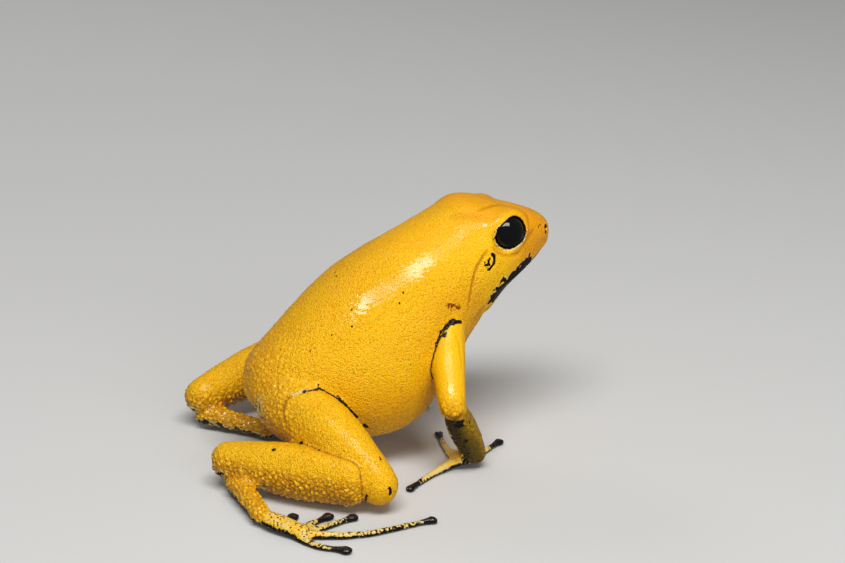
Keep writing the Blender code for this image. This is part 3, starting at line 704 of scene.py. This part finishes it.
def joined_skin(shells, cell):
    """One skin over all groups of flesh, with a ball of flesh round each eye."""
    bm = bmesh.new()
    for shell in shells:
        bm.from_mesh(shell)
    bm.normal_update()
    for vert in bm.verts:
        vert.co += vert.normal * (REACH * MM)
    for name, _ in SIDES:
        middle = Vector((box_middle("eye_" + name)) * MM)
        place = Matrix.Translation(middle)
        bmesh.ops.create_icosphere(bm, subdivisions=4, radius=EYE_BED * MM, matrix=place)
    skin = Skin(even_skin(bm, cell))
    skin.push(-REACH)
    skin.soften(np.full(len(skin.points), SKIN_SOFTNESS))
    skin.store()
    return skin


def fine_places(skin, opening):
    """Points where the skin needs smaller cells: mouth, eyes, nostrils, eardrums, folds and discs."""
    points = skin.points
    forward, _, up = in_trunk(points).T
    fine = (forward > 19.2) & (np.abs(up - mouth_height(forward)) < 0.7)
    for _, side in SIDES:
        distance, height, _, beyond = eye_measures(points, side, opening)
        fine |= (distance < EYE_REACH) & (height > 0.5) & (np.abs(beyond) < 0.5)
        for spot in (NOSTRIL, EARDRUM):
            fine |= off_trunk(points, spot, side) < 1.3
        for *_, places in head_folds(skin, side):
            fine |= line_distance(points, places)[0] < 0.6
    for limb in DIGITS:
        fine |= along_digits(points, limb)[1] < 1.3
    return fine


def part_coarseness(skin, part):
    """Coarseness of the granules by part, with the tops of the shanks smoother."""
    coarse = np.array([COARSENESS[name.replace("_right", "").replace("_left", "")] for name in PARTS])[part]
    shank = part_share(skin, part, ("shank",))
    return skin.blurred(coarse, 14) * (1.0 - 0.75 * shank * step(3.4, 5.4, skin.points[:, 2]))


def local_coarseness(skin, part, place, coarse):
    """Coarseness with that of the rump, belly, hips, knees and near elbow added."""
    forward, _, up = place.T
    torso, thigh = part_share(skin, part, ("torso",)), part_share(skin, part, ("thigh",))
    coarse = coarse + torso * (0.36 * step(-1.0, -8.5, forward) + 0.25 * step(9.0, 3.0, up))
    coarse += thigh * (0.12 * step(-2.5, -5.0, forward) + 0.33 * step(-5.5, -7.6, forward))
    coarse += thigh * 0.25 * step(-0.5, 2.0, forward) * step(5.0, 3.0, skin.points[:, 2])
    coarse += 0.6 * hump(off(skin.points, ELBOW), 1.8)
    return np.clip(coarse, 0.0, 1.0)


def sink_seams(skin, seam, dark):
    """Sink the seams as folds, except where the skin runs on over them; gives the painted shade and black
    line that are left.
    """
    x, z = skin.points[:, 0], skin.points[:, 2]
    trunk = dark > 0.9
    # Behind the groin the skin of the rump runs on over the thigh
    flush = trunk * np.maximum(step(-2.1, -2.7, x) * step(9.0, 10.0, z), step(-3.2, -4.8, x))
    # In front, the skin of the shoulder runs on into the chest in the same way
    facing = skin.blurred(skin.normals()[:, 0], 10)
    flush = np.maximum(flush, trunk * step(-0.05, 0.45, facing) * (x > 6.0))
    skin.soften(0.8 * flush * hump(seam, 1.0))
    dark = dark * (1.0 - flush)
    skin.push(-SEAM_DEPTH * hump(seam, SEAM_WIDTH) * dark)
    return dark


def carve_creases(skin):
    """Creases and ridges of the limbs; gives the painted shade in the creases."""
    amount, dark = np.zeros(len(skin.points)), np.zeros(len(skin.points))
    for depth, width, darkness, places in CREASES.values():
        gap, share = line_distance(skin.points, laid_on(skin.points, places))
        ends = faded(share, 0.7)
        amount += depth * ends * (0.35 * hump(gap - 2.5 * width, 1.5 * width) - hump(gap, width))
        dark = np.maximum(dark, darkness * ends * hump(gap, width))
    for places in RIDGES:
        gap, share = line_distance(skin.points, laid_on(skin.points, places))
        amount += 0.2 * hump(gap, 0.5) * faded(share, 0.8)
    skin.push(amount)
    return dark


def shape_digits(skin):
    """Swell the ends of fingers and toes into discs, each with a narrow groove along its top."""
    top = step(0.0, 0.6, skin.normals()[:, 2])
    for limb in DIGITS:
        _, tip, aside = along_digits(skin.points, limb)
        disc = 0.13 * hump(tip, 0.75) - 0.05 * hump(tip - 1.7, 0.45)
        groove = 0.1 * hump(aside, 0.1) * hump(tip - 0.1, 0.5)
        skin.push(disc * (0.4 + 0.6 * top) - groove * top)


def calmness(skin, part, place, coarse):
    """How far the fine grain is smoothed away on the face, the nape, the arms, the hands and the feet."""
    calm = 0.7 * part_share(skin, part, ("head",)) * step(19.6, 21.6, place[:, 0])
    calm = np.maximum(calm, 0.7 * step(21.0, 24.5, place[:, 2]) * step(6.0, 10.0, place[:, 0]))
    calm = np.maximum(calm, part_share(skin, part, ("upper_arm", "forearm", "hand", "foot")))
    return calm * step(0.5, 0.2, coarse)


class Markings:
    """How sure each marking is at each point; where two lie over each other, the surer one holds."""

    def __init__(self, skin):
        self.skin = skin
        self.points = skin.points
        self.normals = skin.blurred(skin.normals(), 14)
        self.forward, self.out, self.up = in_trunk(skin.points).T
        self.part = skin.kept("part").round().astype(int)
        self.head, self.torso = self.share("head"), self.share("torso")
        self.down = step(0.1, -0.45, self.normals[:, 2])
        self.sure = {}

    def share(self, *names):
        """Softened share of each point's surroundings that belongs to the named parts."""
        return part_share(self.skin, self.part, names)

    def lay(self, name, values):
        """Put a marking down wherever it is surer than what is there."""
        self.sure[name] = np.maximum(self.sure.get(name, 0.0), values)

    def mottle(self, values, dark):
        """Put down cream with black blotches."""
        self.lay("cream", values)
        self.lay("black", dark * values)

    def uneven(self, where, scale, seed):
        """Smooth unevenness at the picked points, and 0 elsewhere."""
        found = np.zeros(len(self.points))
        found[where] = noise_at(self.points[where], scale, seed)
        return found

    def mouth(self):
        """Black lips and chin, broad and ragged near the corners of the mouth, with a cream edge."""
        forward = self.forward
        above = self.up - mouth_height(forward)
        aside = step(2.6, 4.6, np.abs(self.out)) * step(26.6, 25.0, forward)
        jags = self.uneven((forward > 18.0) & (np.abs(above) < 2.0), 0.8, 3.0)
        # The black reaches from top to bottom, as heights above the mouth line
        top = np.interp(forward, *LIP_BLACK) + 0.75 * jags * (0.25 + 0.75 * aside)
        bottom = -0.65 - 1.65 * aside - 0.9 * jags * aside
        on_head = step(0.2, 0.8, self.head)
        lips = step(-0.45, 0.35, top - above) * step(0.0, 0.5 + 0.7 * aside, above - bottom)
        lips = lips * step(18.6, 19.6, forward - 0.9 * jags) * (0.6 + 0.4 * aside) * on_head
        line = 1.3 * hump(above, 0.1) * step(19.8, 20.4, forward)
        edge = 0.85 * hump(top - above + 0.1, 0.16) * step(25.6, 25.2, forward) * step(19.0, 20.0, forward)
        self.lay("black", np.maximum(lips, line))
        self.lay("cream", np.maximum(lips, edge * on_head))

    def face(self, side, opening):
        """Black lines on one side of the head, and the black and cream rim of its eye."""
        for width, places in HEAD_LINES:
            gap, _ = line_distance(self.points, laid_on(self.points, both_sides(places, side), 2))
            self.lay("black", 1.8 * hump(gap, width))
        distance, height, turn, beyond = eye_measures(self.points, side, opening)
        near = (distance < EYE_REACH) & (height > 0.5) & (beyond < 0.8)
        behind = hump(np.angle(np.exp(1j * (turn - math.radians(-165.0)))), 0.9)
        behind = np.maximum(behind, 0.8 * hump(turn + 0.5, 0.35))
        jags = np.maximum(self.uneven(near, 0.24, 4.0) + 0.1, 0.0) * behind
        self.lay("black", 1.6 * near * step(0.07, 0.0, beyond - 0.07 - 0.8 * jags))
        below = np.maximum(step(0.2, -0.6, turn), step(2.1, 2.7, turn))
        self.lay("cream", near * step(0.4, 0.28, beyond) * below * 0.95)

    def forearm(self, name):
        """Olive forearm, with painted shade in olive and black beneath and behind, which begins in a ragged
        line below the elbow.
        """
        fore = self.skin.blurred(self.share("forearm_" + name), 18)
        fore = step(0.15, 0.75, fore + 0.24 * self.uneven(fore > 0.02, 0.9, 6.0))
        behind = step(-0.05, -0.75, self.normals[:, 0])
        # Black flecks, with painted shade in black beneath and behind the forearm
        self.lay("black", fore * (0.06 + 0.14 * self.down + 0.1 * behind))
        # Olive, deepened as painted shade beneath and behind the forearm
        self.lay("olive", fore * (0.85 + 0.5 * self.down + 0.6 * behind))

    def digits(self, limb, dark_from, dark_to, blotch, edge):
        """Cream hand or foot with black discs, sides and blotches."""
        share = self.share(limb)
        along, tip, _ = along_digits(self.points, limb)
        tip = tip + 0.9 * self.uneven(share > 0.1, 0.6, 5.0)
        blotches = blotch + 0.2 * step(0.3, 0.7, along)
        dark = np.maximum(1.15 * step(dark_from, dark_to, tip), 0.95 * step(*edge, self.normals[:, 2]))
        self.lay("black", np.maximum(dark, blotches) * step(0.3, 0.8, share))
        self.lay("cream", share * (0.5 + 0.4 * step(0.0, 0.5, along)))

    def leg(self, name, side):
        """Pale mottling behind the hip and beneath the heel."""
        x = self.points[:, 0]
        rearward = -0.94 * self.normals[:, 0] - 0.34 * side * self.normals[:, 1]
        hip = self.share("thigh_" + name) * step(-6.8, -8.2, x)
        self.mottle(0.9 * hip * step(0.62, 0.96, rearward), 0.55)
        heel = self.share("tarsus_" + name) + 0.8 * self.share("shank_" + name) * step(-9.0, -12.0, x)
        self.mottle(heel * self.down, 0.62)

    def trunk(self):
        """Pale mottling round the vent, and stray flecks."""
        self.mottle(0.68 * self.torso * step(-5.5, -9.0, self.forward) * step(9.8, 6.6, self.up), 0.55)
        free = np.flatnonzero((self.torso > 0.5) & (self.forward < 13.0))
        chosen = self.points[np.random.default_rng(STRAY_SEED).choice(free, STRAY_SPOTS)]
        stray = [(1.7, 0.05 + 0.03 * (k % 3), [spot, spot + 0.05]) for k, spot in enumerate(chosen)]
        self.lay("black", marks(self.points, stray))

    def warmth(self):
        """Orange of face, nape, neck, belly, back and rump, partly painted shade; painted shade on all
        facing down.
        """
        forward, up, level = self.forward, self.up, self.normals[:, 2]
        self.lay("warm", self.head * step(20.5, 25.0, forward))
        self.lay("warm", 0.75 * step(12.0, 19.0, forward) * step(0.3, 0.9, level))
        self.lay("warm", 0.5 * self.head * step(20.5, 22.5, forward) * step(24.0, 22.5, up))
        self.lay("warm", self.torso * (0.05 + 0.4 * step(8.0, 13.0, forward) * step(23.0, 18.0, up)))
        self.lay("warm", self.torso * 0.4 * step(13.0, 8.0, up) * step(-2.0, 2.0, forward))
        self.lay("warm", self.torso * (0.3 * step(0.5, 0.95, level) + 0.3 * step(-5.0, -8.5, forward)))
        # Painted shade: orange on all skin that faces down
        self.lay("warm", 0.35 * step(-0.1, -0.7, level))

    def gloss(self):
        """Wet places, glossy discs, and the parts whose marks are small."""
        for place, radius in WET:
            for _, side in SIDES:
                self.lay("wet", hump(off_trunk(self.points, place, side), radius))
        for place, radius in WET_ELBOWS:
            self.lay("wet", hump(off(self.points, place), radius))
        for limb in DIGITS:
            self.lay("tips", step(2.4, 1.6, along_digits(self.points, limb)[1]))
        self.lay("digit", self.share("hand", "foot", "forearm"))


def number(name, description, default, **limits):
    """A number that can be changed in the panel."""
    return FloatProperty(name=name, description=description, default=default, **limits)


def colour(name, description, default):
    """A colour that can be changed in the panel."""
    return FloatVectorProperty(name=name, description=description, subtype="COLOR", default=default)


class FrogSkinSizes(bpy.types.PropertyGroup):
    """Sizes of the skin and the eyelids"""

    cell: number("Cell", "Size of the skin mesh's cells in millimetres", 0.16, min=0.08)
    granule: number("Granule", "Distance between coarse granules in millimetres", 0.6)
    granule_height: number("Granule height", "Height of coarse granules in millimetres", 0.23)
    looseness: number("Looseness", "Height of the soft unevenness of the skin in millimetres", 0.07)
    lid_opening: number("Lid opening", "Angle from the eye's axis to the lids in degrees", 52.5)
    lid_thickness: number("Lid thickness", "Rise of the lids over the eye in millimetres", 0.26)


class FrogColours(bpy.types.PropertyGroup):
    """Colours of the frog"""

    golden: colour("Golden", "Skin of the flanks and limbs", (0.95, 0.52, 0.003))
    # Also painted shade on shaded and downward-facing skin
    orange_tone_and_shade: colour("Orange", "Skin of the back and the top of the head", (0.85, 0.35, 0.002))
    # Painted light on top of coarse granules
    tops: colour("Tops", "Skin on top of coarse granules", (1.0, 0.66, 0.03))
    # Painted shade between granules
    groove: colour("Groove", "Skin between granules", (0.5, 0.17, 0.002))
    # Painted shade at the bottom of folds, creases and seams
    fold_shade: colour("Crease", "Skin at the bottom of folds", (0.34, 0.085, 0.002))
    # Forearm skin, partly painted shade, as the forearms lie in shade
    olive: colour("Olive", "Skin of the forearms", (0.16, 0.094, 0.004))
    cream: colour("Cream", "Pale blotches of the digits and creases", (0.78, 0.56, 0.16))
    rust: colour("Rust", "Small reddish spots", (0.24, 0.035, 0.005))
    black: colour("Black", "Dark marks", (0.005, 0.004, 0.004))
    eye: colour("Eye", "The eyeballs", (0.003, 0.003, 0.003))


class FrogStage(bpy.types.PropertyGroup):
    """Colour of the floor and strength of the lights"""

    floor: colour("Floor", "Colour of the floor", (0.62, 0.615, 0.6))
    key: number("Key light", "Power of the main light in watts", 1.42, unit="POWER")
    fill: number("Fill light", "Power of the second light in watts", 0.8, unit="POWER")
    sky: number("Sky", "Strength of the light from all around", 0.14)


class FROG_OT_skin(bpy.types.Operator):
    """Lay one closed skin over the flesh of the frog and sculpt it"""

    bl_idname = "frog.skin"
    bl_label = "Skin"

    def execute(self, context):
        sizes = context.scene.frog_skin
        shells = {name: group_shell(nodes) for name, nodes in FLESH.items()}
        skin = joined_skin(shells.values(), sizes.cell)
        mesh = skin.mesh
        refine(mesh, fine_places(skin, sizes.lid_opening))
        skin = Skin(mesh)
        for _, side in SIDES:
            shape_lids(skin, side, sizes.lid_opening, sizes.lid_thickness)
        part = nearest_part(skin, PARTS)
        seam, seam_black_and_shade = seams(skin, shells)
        coarse = part_coarseness(skin, part)
        place = in_trunk(skin.points)
        folds = carve_head(skin)
        seam_black_and_shade = sink_seams(skin, seam, seam_black_and_shade)
        folds = np.maximum(folds, carve_creases(skin))
        coarse = local_coarseness(skin, part, place, coarse)
        shape_digits(skin)
        looseness = sizes.looseness * (0.35 + coarse) * noise_at(skin.points, 2.6, 1.0)
        granules = granules_at(skin.points, sizes.granule, 2.0)
        skin.push(looseness + sizes.granule_height * coarse * (granules - 0.6))
        skin.points[:, 2] = np.maximum(skin.points[:, 2], FLOOR_GAP)
        skin.store()
        # The folds hold the painted shade of folds, creases and seams
        kept = {
            "part": part.astype(float), "seam": seam, "seam_black_and_shade": seam_black_and_shade, "coarse": coarse,
            "granule": granules, "calm": calmness(skin, part, place, coarse),
            "folds": np.maximum(folds, hump(seam, 0.22) * seam_black_and_shade),
        }
        for name, values in kept.items():
            skin.keep(name, values)
        for shell in shells.values():
            bpy.data.meshes.remove(shell)
        obj = bpy.data.objects.new("frog_skin", mesh)
        context.scene.collection.objects.link(obj)
        mesh.name = "frog_skin"
        mesh.shade_smooth()
        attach(obj, "root")
        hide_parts(*PARTS)
        return {"FINISHED"}


class FROG_OT_markings(bpy.types.Operator):
    """Work out where the skin is black, cream, olive, rusty, orange or wet, and where shade is painted into
    its colour
    """

    bl_idname = "frog.markings"
    bl_label = "Markings"

    def execute(self, context):
        skin = Skin(bpy.data.objects["frog_skin"].data)
        markings = Markings(skin)
        markings.mouth()
        for name, side in SIDES:
            markings.face(side, context.scene.frog_skin.lid_opening)
            markings.forearm(name)
            for kind, measures in DIGIT_BLACK.items():
                markings.digits(kind + "_" + name, *measures)
            markings.leg(name, side)
        for name, lines in MARKS.items():
            markings.lay(name, marks(skin.points, lines))
        markings.trunk()
        markings.warmth()
        markings.gloss()
        for name, values in markings.sure.items():
            skin.keep(name, values)
        return {"FINISHED"}


class FROG_OT_eyes(bpy.types.Operator):
    """Make the two glossy black eyes"""

    bl_idname = "frog.eyes"
    bl_label = "Eyes"

    def execute(self, context):
        for name, side in SIDES:
            centre, axis, up, front = eye_axes(side)
            bm = bmesh.new()
            bmesh.ops.create_uvsphere(bm, u_segments=64, v_segments=40, radius=EYE_RADIUS * MM)
            turn = Matrix(np.stack([front, up, axis], 1).tolist()).to_4x4()
            middle = Vector((centre + SHIFT) * MM)
            bmesh.ops.transform(bm, matrix=Matrix.Translation(middle) @ turn, verts=bm.verts)
            bmesh.ops.recalc_face_normals(bm, faces=bm.faces)
            mesh = bpy.data.meshes.new("frog_eye_" + name)
            bm.to_mesh(mesh)
            bm.free()
            mesh.shade_smooth()
            obj = bpy.data.objects.new("frog_eye_" + name, mesh)
            context.scene.collection.objects.link(obj)
            paint = Paint("eye_black")
            paint.set({"Base Color": (*context.scene.frog_colours.eye, 1.0), "Roughness": 0.04,
                       "Specular IOR Level": 0.4})
            mesh.materials.append(paint.material)
            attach(obj, "root")
            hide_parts("eye_" + name)
        return {"FINISHED"}


class FROG_OT_finish(bpy.types.Operator):
    """Colour the skin, with painted light and shade on its granules and in its folds, and give it its fine
    grain and gloss
    """

    bl_idname = "frog.finish"
    bl_label = "Skin finish"

    def execute(self, context):
        obj = bpy.data.objects["frog_skin"]
        colours = context.scene.frog_colours
        paint = Paint("frog_skin")
        place = paint.place()
        pebble, lumps = paint.cells(place, 5.3), paint.cells(place, 2.6)
        grain = paint.noise(place, 6.0, 2.0)
        patch = paint.noise(place, 0.22, 3.0)
        ragged = paint.noise(place, 1.5, 3.0, 0.6)
        flecks = paint.noise(place, 2.3, 2.0, 0.6)
        small = paint.noise(place, 3.2, 2.0, 0.6)
        coarse, calm, digit = paint.number("coarse"), paint.number("calm"), paint.number("digit")
        granule, olive, tips = paint.number("granule"), paint.number("olive"), paint.number("tips")
        # Golden and orange skin, the orange partly painted shade, with painted light on top of the granules
        # and painted shade between them and in folds
        warm = paint.number("warm") + (patch - 0.5) * 0.7
        base = paint.mix(warm.clamped(), (*colours.golden, 1.0), (*colours.orange_tone_and_shade, 1.0))
        base = paint.over(granule.raised(0.6, 1.0) * coarse * 0.45, base, colours.tops)
        valley_shade = (1.0 - granule).raised(0.35, 1.0) * coarse * 0.6 + lumps.raised(0.4, 0.8) * coarse * 0.2
        valley_shade = valley_shade + pebble.raised(0.5, 0.85) * (0.45 + coarse * 0.1) * (1.0 - calm * 0.6)
        base = paint.over(valley_shade.clamped(), base, colours.groove)
        base = paint.over(paint.number("folds") * 0.8, base, colours.fold_shade)
        # Markings, with black over all others
        # Olive of the forearms, partly painted shade, passing into black as painted shade beneath and behind
        # them
        base = paint.over((olive * (0.9 + (flecks - 0.5) * 1.2)).clamped(), base, colours.olive)
        base = paint.over((olive - 1.0).clamped() * 0.85, base, colours.black)
        base = paint.over(paint.blotches(paint.number("cream"), flecks), base, colours.cream)
        base = paint.over(paint.blotches(paint.number("rust"), grain), base, colours.rust)
        dark = paint.blotches(paint.number("black"), ragged * (1.0 - digit) + small * digit)
        # The black line along a seam is partly black skin and partly painted shadow of the limb on the
        # trunk; it lies a little to the trunk's side of the seam, where the limb doesn't hide it
        line = ((paint.number("seam") - 0.06).size() + (grain - 0.5) * 0.08).raised(0.14, 0.08)
        dark = (dark + line * paint.number("seam_black_and_shade").raised(0.6, 0.95)).clamped()
        base = paint.over(dark, base, colours.black)
        # Moist gloss, and relief finer than the mesh
        rough = 0.36 - coarse * 0.1 - dark * 0.1 - tips * 0.1 + (grain - 0.5) * 0.1
        wet = (paint.number("wet") + paint.noise(place, 0.3, 1.0).raised(0.45, 0.7) * 0.2).clamped()
        coat = 0.1 + wet * 0.8 + coarse.raised(0.2, 1.0) * 0.8 + dark * 0.1 + tips * 0.5
        height = (1.0 - pebble) * (0.75 - coarse * 0.35) * (1.0 - calm * 0.55)
        height = height + (1.0 - lumps) * coarse * 1.2 + grain * 0.2
        bump = paint.node("ShaderNodeBump", {}, {"Strength": 1.0, "Distance": 0.18 * MM, "Height": height})
        paint.set({
            "Base Color": base, "Roughness": rough, "Coat Weight": coat, "Coat Roughness": 0.12,
            "Specular IOR Level": 0.3, "Specular Tint": (1.0, 0.9, 0.65, 1.0),
            "Subsurface Weight": 0.08, "Subsurface Scale": MM, "Subsurface Radius": (0.8, 0.3, 0.05),
            "Normal": Value(paint, bump.outputs["Normal"]),
        })
        obj.data.materials.clear()
        obj.data.materials.append(paint.material)
        return {"FINISHED"}


class FROG_OT_stage(bpy.types.Operator):
    """Set the floor, the lights and the camera"""

    bl_idname = "frog.stage"
    bl_label = "Stage"

    def execute(self, context):
        scene = context.scene
        stage = scene.frog_stage
        mesh = bpy.data.meshes.new("floor")
        half = FLOOR_WIDTH / 2.0
        corners = [(-half, -half, 0.0), (half, -half, 0.0), (half, half, 0.0), (-half, half, 0.0)]
        mesh.from_pydata(corners, [], [(0, 1, 2, 3)])
        floor = bpy.data.objects.new("floor", mesh)
        scene.collection.objects.link(floor)
        paint = Paint("floor")
        paint.set({"Base Color": (*stage.floor, 1.0), "Roughness": 0.7, "Specular IOR Level": 0.2})
        mesh.materials.append(paint.material)
        # A bright floor would show in the wet skin and the eyes as a grey veil
        floor.visible_glossy = False
        world = bpy.data.worlds.new("soft_light")
        world.use_nodes = True
        background = world.node_tree.nodes["Background"]
        background.inputs["Color"].default_value = (0.95, 0.97, 1.0, 1.0)
        background.inputs["Strength"].default_value = stage.sky
        scene.world = world
        powers = {"key": stage.key, "fill": stage.fill, "back": stage.fill * 0.22}
        for name, ((wide, deep), place) in LAMPS.items():
            light = bpy.data.lights.new(name, "AREA")
            light.energy = powers[name]
            light.shape = "RECTANGLE"
            light.size, light.size_y = wide, deep
            lamp = bpy.data.objects.new(name, light)
            lamp.location = place
            lamp.rotation_mode = "QUATERNION"
            lamp.rotation_quaternion = (Vector(LAMP_TARGET) - Vector(place)).to_track_quat("-Z", "Y")
            scene.collection.objects.link(lamp)
            lamp.visible_glossy = name == "key"
        lens = bpy.data.cameras.new("camera")
        lens.lens = CAMERA_LENS
        lens.sensor_fit = "HORIZONTAL"
        lens.sensor_width = 36.0
        lens.clip_start, lens.clip_end = 0.01, 20.0
        camera = bpy.data.objects.new("camera", lens)
        azimuth, elevation = CAMERA_ANGLES
        back = Vector((math.sin(azimuth) * math.cos(elevation), -math.cos(azimuth) * math.cos(elevation),
                       math.sin(elevation)))
        camera.location = Vector((np.array(CAMERA_PLACE) + SHIFT) * MM)
        camera.rotation_mode = "QUATERNION"
        camera.rotation_quaternion = (-back).to_track_quat("-Z", "Y")
        scene.collection.objects.link(camera)
        scene.camera = camera
        scene.view_settings.view_transform = "Standard"
        return {"FINISHED"}


class Value:
    """A number in a material, which takes part in sums and products."""

    def __init__(self, paint, socket):
        self.paint = paint
        self.socket = socket

    def worked(self, operation, *values, clamp=False):
        """The outcome of one sum on numbers of the material."""
        made = self.paint.node("ShaderNodeMath", {"operation": operation, "use_clamp": clamp},
                               dict(enumerate(values)))
        return Value(self.paint, made.outputs[0])

    def __add__(self, other):
        return self.worked("ADD", self, other)

    def __radd__(self, other):
        return self.worked("ADD", other, self)

    def __sub__(self, other):
        return self.worked("SUBTRACT", self, other)

    def __rsub__(self, other):
        return self.worked("SUBTRACT", other, self)

    def __mul__(self, other):
        return self.worked("MULTIPLY", self, other)

    def __rmul__(self, other):
        return self.worked("MULTIPLY", other, self)

    def clamped(self):
        """The number held between 0 and 1."""
        return self.worked("ADD", self, 0.0, clamp=True)

    def size(self):
        """The number without its sign."""
        return self.worked("ABSOLUTE", self)

    def raised(self, low, high):
        """Smooth rise from 0 at low to 1 at high."""
        made = self.paint.node("ShaderNodeMapRange", {"interpolation_type": "SMOOTHSTEP"},
                               {"Value": self, "From Min": low, "From Max": high})
        return Value(self.paint, made.outputs["Result"])


class Paint:
    """A material on its way to being finished."""

    def __init__(self, name):
        self.material = bpy.data.materials.new(name)
        self.material.use_nodes = True
        self.tree = self.material.node_tree
        self.surface = self.tree.nodes["Principled BSDF"]

    def node(self, kind, settings, sockets):
        """A node with its settings made first and its sockets set or linked."""
        made = self.tree.nodes.new(kind)
        for name, value in settings.items():
            setattr(made, name, value)
        self.fill(made, sockets)
        return made

    def fill(self, made, sockets):
        """Set or link sockets of a node."""
        for key, value in sockets.items():
            if isinstance(value, Value):
                self.tree.links.new(value.socket, made.inputs[key])
            else:
                made.inputs[key].default_value = value

    def set(self, sockets):
        """Set or link sockets of the surface itself."""
        self.fill(self.surface, sockets)

    def place(self):
        """Place on the frog in millimetres."""
        start = self.node("ShaderNodeTexCoord", {}, {})
        scaled = self.node("ShaderNodeVectorMath", {"operation": "SCALE"},
                           {0: Value(self, start.outputs["Object"]), "Scale": 1.0 / MM})
        return Value(self, scaled.outputs[0])

    def number(self, name):
        """Number stored at each point of the mesh."""
        made = self.node("ShaderNodeAttribute", {"attribute_name": name}, {})
        return Value(self, made.outputs["Fac"])

    def noise(self, place, scale, detail, roughness=0.5):
        """Cloudy unevenness from 0 to 1."""
        made = self.node("ShaderNodeTexNoise", {}, {"Vector": place, "Scale": scale, "Detail": detail,
                                                    "Roughness": roughness})
        return Value(self, made.outputs["Fac"])

    def cells(self, place, scale):
        """Distance from the middle of the nearest pebble of the grain."""
        made = self.node("ShaderNodeTexVoronoi", {"feature": "F1"}, {"Vector": place, "Scale": scale})
        return Value(self, made.outputs["Distance"])

    def blotches(self, sureness, cloud):
        """Blotches that cover as much of the skin as the sureness says, with ragged edges."""
        return (sureness - 0.5 - (cloud - 0.5) * 2.4).raised(-0.05, 0.06) * sureness.raised(0.08, 0.25)

    def over(self, factor, below, colour):
        """A plain colour laid over another colour."""
        return self.mix(factor, below, (*colour, 1.0))

    def mix(self, factor, first, second):
        """One colour passing into another."""
        made = self.node("ShaderNodeMix", {"data_type": "RGBA"}, {0: factor, 6: first, 7: second})
        return Value(self, made.outputs[2])


class FROG_PT_panel(bpy.types.Panel):
    """Steps of the frog in the order they are made"""

    bl_idname = "FROG_PT_panel"
    bl_label = "Golden poison frog"
    bl_space_type = "VIEW_3D"
    bl_region_type = "UI"
    bl_category = "Frog"

    def draw(self, context):
        for settings in (context.scene.frog_skin, context.scene.frog_colours, context.scene.frog_stage):
            box = self.layout.box()
            for name in type(settings).__annotations__:
                box.prop(settings, name)
        for operator in OPERATORS:
            self.layout.operator(operator.bl_idname)


SETTINGS = {"frog_skin": FrogSkinSizes, "frog_colours": FrogColours, "frog_stage": FrogStage}
OPERATORS = [FROG_OT_skin, FROG_OT_markings, FROG_OT_finish, FROG_OT_eyes, FROG_OT_stage]


def register():
    """Make the settings, steps and panel known."""
    for cls in [*SETTINGS.values(), *OPERATORS, FROG_PT_panel]:
        bpy.utils.register_class(cls)
    for name, cls in SETTINGS.items():
        setattr(bpy.types.Scene, name, PointerProperty(type=cls))


def unregister():
    """Take the settings, steps and panel away again."""
    for name in SETTINGS:
        delattr(bpy.types.Scene, name)
    for cls in [FROG_PT_panel, *OPERATORS, *SETTINGS.values()]:
        bpy.utils.unregister_class(cls)


def main():
    """Make everything in order."""
    register()
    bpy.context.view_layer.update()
    for operator in OPERATORS:
        group, name = operator.bl_idname.split(".")
        getattr(getattr(bpy.ops, group), name)()


if __name__ == "__main__":
    main()
